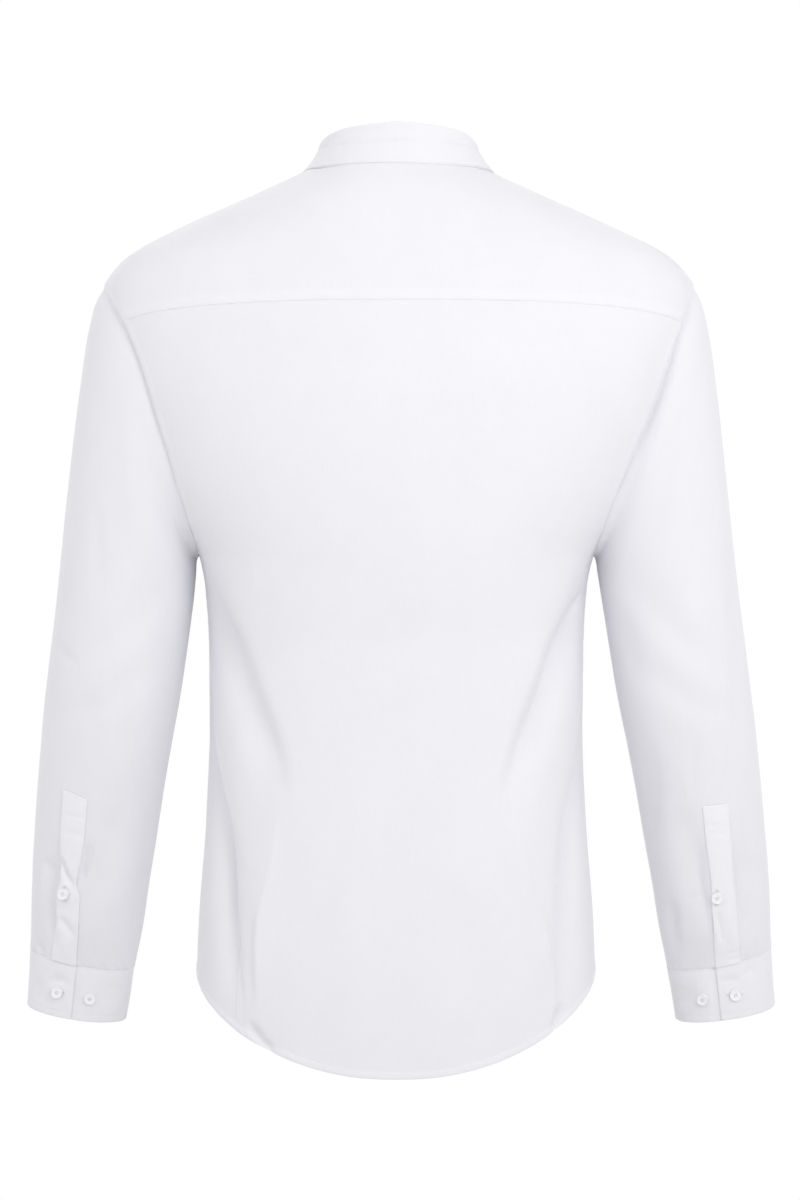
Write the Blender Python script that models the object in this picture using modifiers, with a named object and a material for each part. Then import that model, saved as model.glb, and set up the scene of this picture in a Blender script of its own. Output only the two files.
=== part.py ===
# A long-sleeved shirt with a band collar, standing as it is worn, with nobody in it.
# Metres, +Z up. The front faces -Y and the wearer's left is +X. The origin is the
# middle of the neck opening at the base of the collar.

import math
from collections import namedtuple

import bmesh
import bpy
import numpy as np
from mathutils import Matrix

MM = 0.001

# Driving dimensions, in millimetres
WALL = 1.2
SEAM_GAP = 0.3
LAYER_STEP = WALL + SEAM_GAP + 0.3
PLACKET_HALF_WIDTH = 16.0
PLACKET_UNDERLAP = 11.0
UNDERLAP_STEP = 8.0
UNDERLAP_EASE = 2.0
BACK_HEM_Z = -737.0
FRONT_HEM_Z = -716.0
SIDE_HEM_Z = -660.0
HEM_CURVE_POWER = 2.35
YOKE_SEAM_Z = -114.4
YOKE_SEAM_POWER = 2.8
FRONT_YOKE_NECK_ANGLE = 118.0
ARMHOLE_TOP_Z = -96.0
ARMHOLE_SKEW = 0.022
UNDERARM_Z = -318.0
BACK_YOKE_CORNER_Z = -128.0
FRONT_YOKE_CORNER_Z = -122.0
COLLAR_TOP_HALF_WIDTH = 66.0
COLLAR_TOP_HALF_DEPTH = 60.0
COLLAR_TOP_SHIFT = -5.5
COLLAR_OVERLAP = 13.0
CUFF_OVERLAP = 27.0
BUTTON_RADIUS = 5.5
SLEEVE_BUTTON_RADIUS = 4.8
BUTTON_THICKNESS = 2.6
BUTTON_DISH = 0.7
FRONT_BUTTON_TOP_Z = -96.0
FRONT_BUTTON_PITCH = 88.0
FRONT_BUTTONS = 6
CUFF_BUTTON_INSET = 13.8
CUFF_BUTTON_PLACE = 0.56
SLEEVE_BUTTON_PLACE = 11.25
COLLAR_LEAN_POWER = 1.6
COLLAR_RISE = 1.0
COLLAR_STEP_TURN = 12.0
CUFF_STEP_TURN = 14.0

# How finely the panels are divided
BACK_COLUMNS = 30
FRONT_COLUMNS = 12
NECK_STEPS = 4
PLACKET_COLUMNS = 4
UNDERLAP_COLUMNS = 4
HEM_TO_UNDERARM_ROWS = 14
ARMHOLE_ROWS = 8
YOKE_ARMHOLE_STEPS = 3
YOKE_ROWS = FRONT_COLUMNS - NECK_STEPS
SLEEVE_ROWS = 27
CUFF_COLUMNS = 30
CUFF_ROWS = 2
COLLAR_COLUMNS = 40
COLLAR_ROWS = 3
STRIP_COLUMNS = 3
STRIP_ROWS = 11
BUTTON_SEGMENTS = 14

Section = namedtuple("Section", "z half_width back front squareness")
BODY_SECTIONS = [
    Section(-770.0, 166.5, 113.0, 118.0, 2.50),
    Section(-700.0, 166.0, 113.0, 118.0, 2.50),
    Section(-660.0, 164.5, 112.0, 118.0, 2.50),
    Section(-605.0, 162.0, 108.0, 117.0, 2.50),
    Section(-540.0, 157.5, 103.0, 116.0, 2.45),
    Section(-460.0, 154.5, 99.0, 115.0, 2.40),
    Section(-400.0, 154.5, 100.0, 117.0, 2.40),
    Section(-345.0, 157.5, 107.0, 122.0, 2.35),
    Section(-318.0, 163.0, 111.0, 125.0, 2.30),
    Section(-292.0, 178.0, 114.0, 125.0, 2.25),
    Section(-266.0, 194.0, 116.5, 124.0, 2.20),
    Section(-225.0, 213.0, 118.0, 121.0, 2.20),
    Section(-192.0, 226.0, 118.0, 117.0, 2.20),
    Section(-160.0, 236.0, 115.0, 111.0, 2.20),
    Section(-136.0, 242.0, 111.0, 106.0, 2.20),
    Section(-112.0, 246.0, 106.0, 99.0, 2.15),
    Section(-96.0, 244.5, 102.0, 94.0, 2.10),
    Section(-86.0, 238.5, 98.5, 90.0, 2.10),
    Section(-73.0, 226.5, 94.5, 85.5, 2.10),
    Section(-56.5, 198.5, 89.0, 79.0, 2.05),
    Section(-40.0, 163.7, 83.0, 71.5, 2.00),
    Section(-23.0, 125.5, 75.0, 63.5, 2.00),
    Section(-6.5, 89.5, 65.0, 54.0, 2.00),
    Section(1.5, 73.0, 60.0, 49.0, 2.00),
]

# The armhole seam as a share of the body's half width at each height
Armhole = namedtuple("Armhole", "z back_share front_share")
ARMHOLE = [
    Armhole(-318.0, 1.000, 1.000),
    Armhole(-292.0, 0.954, 0.955),
    Armhole(-266.0, 0.918, 0.921),
    Armhole(-225.0, 0.902, 0.908),
    Armhole(-192.0, 0.902, 0.908),
    Armhole(-160.0, 0.909, 0.914),
    Armhole(-136.0, 0.924, 0.935),
    Armhole(-112.0, 0.960, 0.976),
    Armhole(-96.0, 1.000, 1.000),
]

# The side seam runs from the underarm round towards the back
SeamPoint = namedtuple("SeamPoint", "z turn")
SIDE_SEAM = [
    SeamPoint(-740.0, 46.5),
    SeamPoint(-700.0, 46.5),
    SeamPoint(-660.0, 47.5),
    SeamPoint(-631.0, 48.5),
    SeamPoint(-580.0, 52.0),
    SeamPoint(-550.0, 55.5),
    SeamPoint(-513.0, 60.0),
    SeamPoint(-490.0, 65.0),
    SeamPoint(-461.0, 70.0),
    SeamPoint(-430.0, 79.0),
    SeamPoint(-400.0, 86.0),
    SeamPoint(-318.0, 90.0),
]

# The neck seam and the collar's top edge, by the angle round the neck from the back
NeckPoint = namedtuple("NeckPoint", "angle seam_z top_z")
NECK = [
    NeckPoint(0.0, 0.0, 35.0),
    NeckPoint(45.0, 0.0, 30.5),
    NeckPoint(75.0, -0.5, 24.0),
    NeckPoint(90.0, -1.5, 20.5),
    NeckPoint(105.0, -5.5, 15.5),
    NeckPoint(120.0, -10.5, 9.0),
    NeckPoint(140.0, -20.0, 0.5),
    NeckPoint(160.0, -31.0, -6.0),
    NeckPoint(180.0, -38.0, -9.0),
]

# Sleeve rings from the armhole to the cuff: their points farthest from the body and
# nearest to it, their half depth, how far back the middle lies, and the back's drop
Ring = namedtuple("Ring", "outer_x outer_z inner_x inner_z half_depth mid_y drop")
SLEEVE_RINGS = [
    Ring(244.5, -96.0, 163.0, -318.0, 58.0, -2.0, 0.0),
    Ring(250.5, -108.0, 164.8, -320.0, 59.0, -2.0, 0.0),
    Ring(257.5, -138.0, 165.8, -324.0, 60.0, -2.0, 0.0),
    Ring(263.0, -178.0, 166.2, -330.0, 60.0, -2.0, 0.0),
    Ring(270.0, -236.0, 167.0, -338.0, 59.5, -2.0, 0.0),
    Ring(277.0, -298.0, 168.6, -352.0, 58.5, -2.0, 0.0),
    Ring(284.0, -360.0, 172.2, -378.0, 57.5, -2.5, 0.5),
    Ring(291.3, -420.0, 180.8, -434.0, 55.0, -4.5, 2.0),
    Ring(295.8, -460.0, 188.6, -474.0, 52.5, -9.0, 4.0),
    Ring(299.6, -500.0, 196.2, -515.0, 50.0, -14.5, 5.0),
    Ring(303.2, -540.0, 202.8, -555.0, 47.5, -20.0, 5.5),
    Ring(306.8, -578.0, 209.6, -593.0, 45.0, -25.5, 5.5),
    Ring(308.8, -612.0, 215.0, -627.0, 41.5, -30.5, 5.0),
    Ring(309.7, -645.3, 222.5, -662.7, 32.5, -35.5, 4.3),
]
CUFF_RINGS = [
    SLEEVE_RINGS[-1],
    Ring(313.4, -694.0, 229.9, -706.5, 31.0, -42.0, 4.2),
]

WRIST_HALF_WIDTH = (CUFF_RINGS[0].outer_x - CUFF_RINGS[0].inner_x) / 2

# What differs between the wearer's left arm and right arm
Arm = namedtuple("Arm", "name side swing edge_angle strip_top_shift strip_top strip_slant button_shift")
ARMS = [
    Arm("left", 1.0, -3.0, 87.0, 17.0, 0.690, -0.009, 4.0),
    Arm("right", -1.0, 5.0, 98.0, 8.0, 0.705, 0.003, -4.0),
]
BODY_LEAN = 2.0
BODY_LEAN_TOP_Z = -90.0
BODY_LEAN_FOOT_Z = -330.0
SLEEVE_STRIP_WIDTH = 20.0

# How far along the sleeve, counted in rings, the armhole's shape fades out, and where
# the folds fade in after the armhole and out before the cuff
SLEEVE_END = len(SLEEVE_RINGS) - 1.0
SHOULDER_BLEND = 2.0
SLEEVE_FOLDS_IN = 1.5
SLEEVE_FOLDS_OUT = 1.0

# How much nearer the hem and the top the bends of those two edges are kept
PANEL_HOLDS = (3.0, 6.0)

# The largest folds: where each runs as seen from behind or from the front, how far it
# reaches to either side, and how deep it sinks (or stands, if positive)
Fold = namedtuple("Fold", "facing path reach depth")
FOLD_TAPER = 0.3
FOLD_END_DEPTH = 0.25
BODY_FOLDS = [
    Fold(1, [(158, -350), (128, -420), (104, -500)], 15.0, -6.0),
    Fold(1, [(-158, -345), (-124, -420), (-88, -500)], 13.0, -6.5),
    Fold(1, [(140, -380), (104, -470), (86, -540)], 16.0, 2.5),
    Fold(1, [(-136, -380), (-92, -470), (-70, -540)], 16.0, 2.5),
    Fold(1, [(96, -515), (110, -600), (116, -700)], 11.0, 3.0),
    Fold(1, [(-84, -515), (-104, -590), (-124, -680)], 11.0, 3.0),
    Fold(1, [(146, -500), (136, -580), (132, -690)], 9.0, -4.5),
    Fold(1, [(-143, -500), (-137, -580), (-134, -690)], 9.0, -4.5),
    Fold(-1, [(150, -345), (118, -420), (84, -500)], 15.0, -6.0),
    Fold(-1, [(-150, -345), (-112, -430), (-80, -515)], 15.0, -6.0),
    Fold(-1, [(120, -520), (112, -600), (108, -690)], 14.0, -4.0),
    Fold(-1, [(-118, -510), (-112, -600), (-104, -690)], 14.0, -4.0),
    Fold(-1, [(205, -150), (150, -190), (95, -210)], 14.0, -4.0),
    Fold(-1, [(-205, -150), (-152, -188), (-98, -214)], 14.0, -4.0),
]
SLEEVE_FOLDS = [
    Fold(1, [(190, -335), (225, -380), (262, -410)], 14.0, -4.0),
    Fold(1, [(196, -400), (236, -436), (280, -452)], 12.0, -3.5),
    Fold(1, [(232, -520), (240, -560), (250, -610)], 11.0, -3.0),
    Fold(1, [(286, -560), (296, -600), (300, -640)], 9.0, -2.5),
    Fold(-1, [(190, -340), (228, -390), (276, -410)], 14.0, -4.0),
    Fold(-1, [(200, -420), (244, -440), (288, -430)], 13.0, -4.5),
    Fold(-1, [(205, -470), (246, -480), (292, -470)], 12.0, -4.0),
    Fold(-1, [(240, -560), (250, -600), (256, -645)], 11.0, -3.0),
]

Finish = namedtuple("Finish", "colour roughness")
COTTON = Finish((0.86, 0.86, 0.90), 0.85)
COTTON_DOUBLE = Finish((0.89, 0.89, 0.93), 0.85)
SHELL_BUTTON = Finish((0.80, 0.80, 0.82), 0.30)

# A button's outline as shares of its radius and of half its thickness; the dish is cut
# below the face inside the rim
RimPoint = namedtuple("RimPoint", "radius height")
BUTTON_RIM = [
    RimPoint(0.80, 1.0),
    RimPoint(1.00, 0.35),
    RimPoint(1.00, -0.35),
    RimPoint(0.85, -1.0),
]
BUTTON_DISH_RADIUS = 0.62


# Curves through short tables

def table_columns(rows):
    return [np.array(column, dtype=float) for column in zip(*rows)]


def smooth_curve(knots, values, at):
    """A smooth curve through a table that never overshoots its rows."""
    step = np.diff(knots)
    slope = np.diff(values) / step
    tangent = np.zeros(len(knots))
    tangent[0] = slope[0]
    tangent[-1] = slope[-1]
    same_way = slope[:-1] * slope[1:] > 0
    weight_a = 2 * step[1:] + step[:-1]
    weight_b = step[1:] + 2 * step[:-1]
    first = np.where(same_way, slope[:-1], 1.0)
    second = np.where(same_way, slope[1:], 1.0)
    inner = (weight_a + weight_b) / (weight_a / first + weight_b / second)
    tangent[1:-1] = np.where(same_way, inner, 0.0)
    at = np.clip(at, knots[0], knots[-1])
    index = np.clip(np.searchsorted(knots, at, side="right") - 1, 0, len(step) - 1)
    width = step[index]
    t = (at - knots[index]) / width
    start = values[index] * (1 + 2 * t) * (1 - t) ** 2 + tangent[index] * width * t * (1 - t) ** 2
    end = values[index + 1] * t * t * (3 - 2 * t) + tangent[index + 1] * width * t * t * (t - 1)
    return start + end


def ease(t):
    t = np.clip(t, 0.0, 1.0)
    return t * t * (3 - 2 * t)


# The body's surface: a turn round the body in degrees from the middle of the back,
# positive towards the wearer's left, and a climb in millimetres along the side

SECTION_Z, SECTION_WIDTH, SECTION_BACK, SECTION_FRONT, SECTION_POWER = table_columns(BODY_SECTIONS)
SECTION_CLIMB = np.concatenate([[0.0], np.cumsum(np.hypot(np.diff(SECTION_Z), np.diff(SECTION_WIDTH)))])


def climb_at(z):
    fine = np.linspace(SECTION_CLIMB[0], SECTION_CLIMB[-1], 2000)
    return np.interp(z, smooth_curve(SECTION_CLIMB, SECTION_Z, fine), fine)


def lean(z):
    """The lower part hangs a little to the wearer's left."""
    return BODY_LEAN * ease((z - BODY_LEAN_TOP_Z) / (BODY_LEAN_FOOT_Z - BODY_LEAN_TOP_Z))


def body_surface(turn, climb):
    half_width = smooth_curve(SECTION_CLIMB, SECTION_WIDTH, climb)
    back = smooth_curve(SECTION_CLIMB, SECTION_BACK, climb)
    front = smooth_curve(SECTION_CLIMB, SECTION_FRONT, climb)
    power = smooth_curve(SECTION_CLIMB, SECTION_POWER, climb)
    sine = np.sin(np.radians(turn))
    cosine = np.cos(np.radians(turn))
    size = (np.abs(sine) ** power + np.abs(cosine) ** power) ** (1 / power)
    depth = np.where(cosine > 0, back, front)
    z = smooth_curve(SECTION_CLIMB, SECTION_Z, climb)
    return np.stack([half_width * sine / size + lean(z), depth * cosine / size, z], axis=-1)


def turn_at_share(share, climb, facing):
    """The turn where the body is a given share of its half width from the middle."""
    power = smooth_curve(SECTION_CLIMB, SECTION_POWER, climb)
    rest = np.clip(1 - np.abs(share) ** power, 0.0, 1.0) ** (1 / power)
    return np.degrees(np.arctan2(share, facing * rest))


def turn_at_x(x, climb, facing):
    return turn_at_share(x / smooth_curve(SECTION_CLIMB, SECTION_WIDTH, climb), climb, facing)


def surface_normal(surface, across, along, step_across, step_along):
    d_across = surface(across + step_across, along) - surface(across - step_across, along)
    d_along = surface(across, along + step_along) - surface(across, along - step_along)
    normal = np.cross(d_along, d_across)
    return normal / np.linalg.norm(normal, axis=-1, keepdims=True)


def distance_to_path(x, z, path):
    """Distance to a path in the upright plane, and the share of its length reached."""
    path = np.array(path, dtype=float)
    lengths = np.hypot(*np.diff(path, axis=0).T)
    total = lengths.sum()
    best = np.full(x.shape, 1e9)
    share = np.zeros(x.shape)
    done = 0.0
    for start, end, length in zip(path[:-1], path[1:], lengths):
        way = (end - start) / length
        along = (x - start[0]) * way[0] + (z - start[1]) * way[1]
        held = np.clip(along, 0.0, length)
        distance = np.hypot(x - start[0] - held * way[0], z - start[1] - held * way[1])
        nearer = distance < best
        best = np.where(nearer, distance, best)
        share = np.where(nearer, (done + held) / total, share)
        done += length
    return best, share


def add_folds(points, normals, folds):
    offset = np.zeros(points.shape[:-1])
    for fold in folds:
        distance, share = distance_to_path(points[..., 0], points[..., 2], fold.path)
        hollow = np.exp(-(distance / fold.reach) ** 2)
        taper = ease(share / FOLD_TAPER) * ease((1 - share) / FOLD_TAPER)
        strength = FOLD_END_DEPTH + (1 - FOLD_END_DEPTH) * taper
        facing = ease(fold.facing * normals[..., 1] * 2.0)
        offset += fold.depth * hollow * strength * facing
    return points + normals * offset[..., None]


def body_points(turn, climb, lift=0.0):
    points = body_surface(turn, climb)
    normals = surface_normal(body_surface, turn, climb, 0.5, 1.0)
    return add_folds(points, normals, BODY_FOLDS) + normals * np.asarray(lift)[..., None]


# Seams on the body's surface, as turns and climbs

def hem_line(turn):
    share = np.abs(np.sin(np.radians(turn))) ** HEM_CURVE_POWER
    lowest = np.where(np.cos(np.radians(turn)) > 0, BACK_HEM_Z, FRONT_HEM_Z)
    return climb_at(lowest + (SIDE_HEM_Z - lowest) * share)


def side_seam_turn(z):
    seam_z, seam_turn = table_columns(SIDE_SEAM)
    return smooth_curve(seam_z, seam_turn, z)


def side_seam(side):
    """From the hem up to the underarm."""
    foot_turn = SIDE_SEAM[0].turn
    foot_climb = hem_line(np.array(foot_turn))
    climb = np.linspace(foot_climb, climb_at(UNDERARM_Z), HEM_TO_UNDERARM_ROWS + 1)
    turn = side_seam_turn(smooth_curve(SECTION_CLIMB, SECTION_Z, climb))
    return np.stack([side * turn, climb], axis=-1)


def armhole_angles(corner_z, steps_above, steps_below):
    """Angles round the armhole, from its top to the yoke's corner and to the underarm."""
    middle = (ARMHOLE_TOP_Z + UNDERARM_Z) / 2
    half = (ARMHOLE_TOP_Z - UNDERARM_Z) / 2
    corner = math.degrees(math.acos((corner_z - middle) / half))
    above = np.linspace(0.0, corner, steps_above + 1)
    below = np.linspace(corner, 180.0, steps_below + 1)
    return above, below


def armhole_seam(angles, side, facing):
    middle = (ARMHOLE_TOP_Z + UNDERARM_Z) / 2
    half = (ARMHOLE_TOP_Z - UNDERARM_Z) / 2
    z = middle + half * np.cos(np.radians(angles))
    armhole_z, back_share, front_share = table_columns(ARMHOLE)
    share = smooth_curve(armhole_z, back_share if facing > 0 else front_share, z)
    if facing > 0:
        # the left seam hangs a little nearer to the middle of the back than the right one
        height = np.clip((z - UNDERARM_Z) / (2 * half), 0.0, 1.0)
        share = share - side * ARMHOLE_SKEW * np.sin(np.pi * height ** 1.5)
    climb = climb_at(z)
    return np.stack([side * turn_at_share(share, climb, facing), climb], axis=-1)


BACK_ABOVE, BACK_BELOW = armhole_angles(BACK_YOKE_CORNER_Z, YOKE_ARMHOLE_STEPS, ARMHOLE_ROWS)
FRONT_ABOVE, FRONT_BELOW = armhole_angles(FRONT_YOKE_CORNER_Z, YOKE_ARMHOLE_STEPS, ARMHOLE_ROWS)


def angle_from_back(angle):
    """The same for both sides, also just past the middle of the front."""
    return 180.0 - np.abs(180.0 - np.abs(angle))


def neck_seam(angle):
    neck_angle, seam_z, top_z = table_columns(NECK)
    climb = climb_at(smooth_curve(neck_angle, seam_z, angle_from_back(angle)))
    half_width = smooth_curve(SECTION_CLIMB, SECTION_WIDTH, climb)
    cosine = np.cos(np.radians(angle))
    back = smooth_curve(SECTION_CLIMB, SECTION_BACK, climb)
    front = smooth_curve(SECTION_CLIMB, SECTION_FRONT, climb)
    depth = np.where(cosine > 0, back, front)
    turn = np.degrees(np.arctan2(np.sin(np.radians(angle)) / half_width, cosine / depth))
    turn = np.where(np.abs(angle) > 180.0, turn + 360.0 * np.sign(angle), turn)
    return np.stack([turn, climb], axis=-1)


def back_yoke_seam():
    """From the left armhole to the right one."""
    left = armhole_seam(BACK_BELOW[:1], 1.0, 1.0)[0]
    right = armhole_seam(BACK_BELOW[:1], -1.0, 1.0)[0]
    turn = np.linspace(left[0], right[0], BACK_COLUMNS + 1)
    share = np.abs(turn / np.where(turn > 0, left[0], right[0])) ** YOKE_SEAM_POWER
    middle_climb = climb_at(YOKE_SEAM_Z)
    return np.stack([turn, middle_climb + (left[1] - middle_climb) * share], axis=-1)


def front_yoke_seam(side, steps):
    """From the neck to the armhole."""
    neck = neck_seam(np.array([side * FRONT_YOKE_NECK_ANGLE]))[0]
    armhole = armhole_seam(FRONT_BELOW[:1], side, -1.0)[0]
    share = np.linspace(0.0, 1.0, steps + 1)[:, None]
    return neck + (armhole - neck) * share


def fill_between(bottom, top, first, last, bottom_hold=1.0, top_hold=1.0):
    """A grid that fills four edges; rows climb, columns run from first to last.

    A higher hold keeps the bends of the bottom or the top nearer to that edge."""
    across = np.linspace(0.0, 1.0, len(bottom))[None, :, None]
    up = np.linspace(0.0, 1.0, len(first))[:, None, None]
    straight = (1 - across) * first[:, None] + across * last[:, None]
    bottom_bend = bottom - ((1 - across) * bottom[0] + across * bottom[-1])
    top_bend = top - ((1 - across) * top[0] + across * top[-1])
    return straight + (1 - up) ** bottom_hold * bottom_bend + up ** top_hold * top_bend


def pull_in(points, gap, edges):
    """Draws the named edges of a grid back from their seam lines."""
    points = points.copy()
    pairs = {
        "bottom": (np.s_[0, :], np.s_[1, :]),
        "top": (np.s_[-1, :], np.s_[-2, :]),
        "first": (np.s_[:, 0], np.s_[:, 1]),
        "last": (np.s_[:, -1], np.s_[:, -2]),
    }
    moves = []
    for edge in edges:
        at_edge, inside = pairs[edge]
        way = points[inside] - points[at_edge]
        moves.append((at_edge, way * (gap / np.linalg.norm(way, axis=-1, keepdims=True))))
    for at_edge, move in moves:
        points[at_edge] += move
    return points


# Objects

def clear_scene():
    for obj in list(bpy.data.objects):
        bpy.data.objects.remove(obj, do_unlink=True)


def make_collection(name):
    collection = bpy.data.collections.new(name)
    bpy.context.scene.collection.children.link(collection)
    return collection


def make_material(name, finish):
    material = bpy.data.materials.new(name)
    material.use_nodes = True
    shader = material.node_tree.nodes["Principled BSDF"]
    shader.inputs["Base Color"].default_value = (*finish.colour, 1.0)
    shader.inputs["Roughness"].default_value = finish.roughness
    shader.inputs["Metallic"].default_value = 0.0
    return material


def cloth_object(collection, name, points, finish, wall=WALL, closed=False, flip=False):
    """A grid of cloth, bent to the given points and thickened inwards."""
    rows, columns = points.shape[:2]
    bm = bmesh.new()
    bmesh.ops.create_grid(bm, x_segments=columns - 1, y_segments=rows - 1, size=0.5)
    for vertex in bm.verts:
        column = round((vertex.co.x + 0.5) * (columns - 1))
        row = round((vertex.co.y + 0.5) * (rows - 1))
        vertex.co = [value * MM for value in points[row, column]]
    if closed:
        bmesh.ops.remove_doubles(bm, verts=bm.verts[:], dist=0.00001)
    if flip:
        bmesh.ops.reverse_faces(bm, faces=bm.faces[:])
    mesh = bpy.data.meshes.new(name)
    bm.to_mesh(mesh)
    bm.free()
    mesh.shade_smooth()
    obj = bpy.data.objects.new(name, mesh)
    obj.data.materials.append(make_material(name, finish))
    collection.objects.link(obj)
    thicken = obj.modifiers.new("wall", "SOLIDIFY")
    thicken.thickness = wall * MM
    thicken.offset = -1.0
    thicken.use_even_offset = False
    thicken.use_quality_normals = True
    return obj


# Body panels

def make_back(collection):
    edges = []
    for side in (1.0, -1.0):
        armhole = armhole_seam(BACK_BELOW, side, 1.0)[::-1]
        edges.append(np.concatenate([side_seam(side), armhole[1:]]))
    turn = np.linspace(edges[0][0, 0], edges[1][0, 0], BACK_COLUMNS + 1)
    hem = np.stack([turn, hem_line(turn)], axis=-1)
    grid = fill_between(hem, back_yoke_seam(), edges[0], edges[1], *PANEL_HOLDS)
    points = body_points(grid[..., 0], grid[..., 1])
    points = pull_in(points, SEAM_GAP, ["top", "first", "last"])
    return cloth_object(collection, "back", points, COTTON)


def front_grid(side, edge_x):
    """Columns from near the middle of the front to the side, rows from hem to yoke."""
    armhole = armhole_seam(FRONT_BELOW, side, -1.0)[::-1]
    side_edge = np.concatenate([side_seam(side), armhole[1:]])
    front_edge, neck_angle = front_line(edge_x, side)
    hem_turn = np.linspace(front_edge[0, 0], side_edge[0, 0], FRONT_COLUMNS + 1)
    hem = np.stack([hem_turn, hem_line(hem_turn)], axis=-1)
    neck = neck_seam(np.linspace(neck_angle, side * FRONT_YOKE_NECK_ANGLE, NECK_STEPS + 1))
    yoke = front_yoke_seam(side, YOKE_ROWS)
    top = np.concatenate([neck, yoke[1:]])
    return fill_between(hem, top, front_edge, side_edge, *PANEL_HOLDS)


def unwrap(turn, side):
    """Keeps a turn near the middle of the front on one side of the 180 degree line."""
    turn = np.asarray(turn)
    return np.where(turn * side < 0, turn + side * 360.0, turn)


def front_line(x, side):
    """A line up the front at a given distance from its middle, and the neck's angle there."""
    angles = np.linspace(150.0, 210.0, 241) * side
    seam = neck_seam(angles)
    xs = body_surface(seam[:, 0], seam[:, 1])[:, 0]
    order = np.argsort(xs)
    neck_angle = float(np.interp(x, xs[order], angles[order]))
    neck_climb = neck_seam(np.array([neck_angle]))[0, 1]
    armhole = armhole_seam(FRONT_BELOW, side, -1.0)[::-1, 1]
    rise = (armhole - armhole[0]) / (armhole[-1] - armhole[0])
    below = np.linspace(hem_line(np.array(180.0)), armhole[0], HEM_TO_UNDERARM_ROWS + 1)
    climb = np.concatenate([below, armhole[0] + (neck_climb - armhole[0]) * rise[1:]])
    turn = unwrap(turn_at_x(x, climb, -1.0), side)
    return np.stack([turn, climb], axis=-1), neck_angle


def front_strip(xs, lift=0.0):
    """Points of a strip up the front, a column for each distance from the middle."""
    lines = np.stack([front_line(x, 1.0)[0] for x in xs], axis=1)
    return body_points(lines[..., 0], lines[..., 1], lift)


def make_fronts(collection):
    left = front_grid(1.0, PLACKET_HALF_WIDTH)
    points = body_points(left[..., 0], left[..., 1])
    points = pull_in(points, SEAM_GAP, ["top", "first", "last"])
    cloth_object(collection, "front_left", points, COTTON)
    right = front_grid(-1.0, -PLACKET_HALF_WIDTH - UNDERLAP_STEP)
    points = body_points(right[..., 0], right[..., 1])
    xs = np.linspace(PLACKET_UNDERLAP, -PLACKET_HALF_WIDTH - UNDERLAP_EASE, UNDERLAP_COLUMNS)
    underlap = front_strip(xs, -LAYER_STEP)
    points = np.concatenate([underlap, points], axis=1)
    points = pull_in(points, SEAM_GAP, ["top", "last"])
    cloth_object(collection, "front_right", points, COTTON, flip=True)


def make_front_placket(collection):
    xs = np.linspace(PLACKET_HALF_WIDTH, -PLACKET_HALF_WIDTH, PLACKET_COLUMNS + 1)
    points = front_strip(xs)[:, ::-1]
    points = pull_in(points, SEAM_GAP, ["top", "last"])
    return cloth_object(collection, "front_placket", points, COTTON_DOUBLE)


def make_yoke(collection):
    outer = np.concatenate([
        armhole_seam(FRONT_ABOVE, 1.0, -1.0)[::-1],
        armhole_seam(BACK_ABOVE, 1.0, 1.0)[1:],
        back_yoke_seam()[1:],
        armhole_seam(BACK_ABOVE, -1.0, 1.0)[::-1][1:],
        armhole_seam(FRONT_ABOVE, -1.0, -1.0)[1:],
    ])
    angles = np.linspace(FRONT_YOKE_NECK_ANGLE, -FRONT_YOKE_NECK_ANGLE, len(outer))
    inner = neck_seam(angles)
    first = front_yoke_seam(1.0, YOKE_ROWS)[::-1]
    last = front_yoke_seam(-1.0, YOKE_ROWS)[::-1]
    grid = fill_between(outer, inner, first, last)
    points = body_points(grid[..., 0], grid[..., 1])
    points = pull_in(points, SEAM_GAP, ["top", "bottom", "first", "last"])
    return cloth_object(collection, "yoke", points, COTTON)


def collar_inward(share):
    """The band leans in towards the neck sooner than it climbs."""
    return 1 - (1 - share) ** COLLAR_LEAN_POWER


def make_collar_band(collection):
    """One strip round the neck: it starts under the left end and ends over the right."""
    reach = 180.0 + math.degrees(COLLAR_OVERLAP / COLLAR_TOP_HALF_DEPTH)
    angles = np.linspace(-reach, reach, COLLAR_COLUMNS + 1)[::-1]
    neck_angle, seam_z, top_z = table_columns(NECK)
    seam = neck_seam(angles)
    bottom = body_surface(seam[:, 0], seam[:, 1]) + [0.0, 0.0, COLLAR_RISE]
    sine = np.sin(np.radians(angles))
    cosine = np.cos(np.radians(angles))
    end_height = smooth_curve(neck_angle, top_z, angle_from_back(angles))
    top = np.stack([
        COLLAR_TOP_HALF_WIDTH * sine,
        COLLAR_TOP_SHIFT + COLLAR_TOP_HALF_DEPTH * cosine,
        end_height,
    ], axis=-1)
    share = np.linspace(0.0, 1.0, COLLAR_ROWS + 1)
    inward = collar_inward(share)
    ways = np.stack([inward, inward, share], axis=-1)
    points = bottom + (top - bottom) * ways[:, None, :]
    past_overlap = angles + reach - 2 * (reach - 180.0)
    sunk = -LAYER_STEP * (1 - ease(past_overlap / COLLAR_STEP_TURN))
    outward = np.stack([sine, cosine, np.zeros(len(angles))], axis=-1)
    points = points + outward[None] * sunk[None, :, None]
    return cloth_object(collection, "collar_band", points, COTTON_DOUBLE)


# Sleeves

def ring_points(ring_columns, angles, place, arm, swing_share):
    outer_x, outer_z, inner_x, inner_z, half_depth, mid_y, drop = [
        smooth_curve(np.arange(len(column), dtype=float), column, place) for column in ring_columns
    ]
    cosine = np.cos(np.radians(angles))
    sine = np.sin(np.radians(angles))
    x = (outer_x + inner_x) / 2 + (outer_x - inner_x) / 2 * cosine
    z = (outer_z + inner_z) / 2 + (outer_z - inner_z) / 2 * cosine - drop * sine
    x = arm.side * (x + arm.swing * swing_share) + lean(z)
    return np.stack([x, mid_y + half_depth * sine, z], axis=-1)


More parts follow.
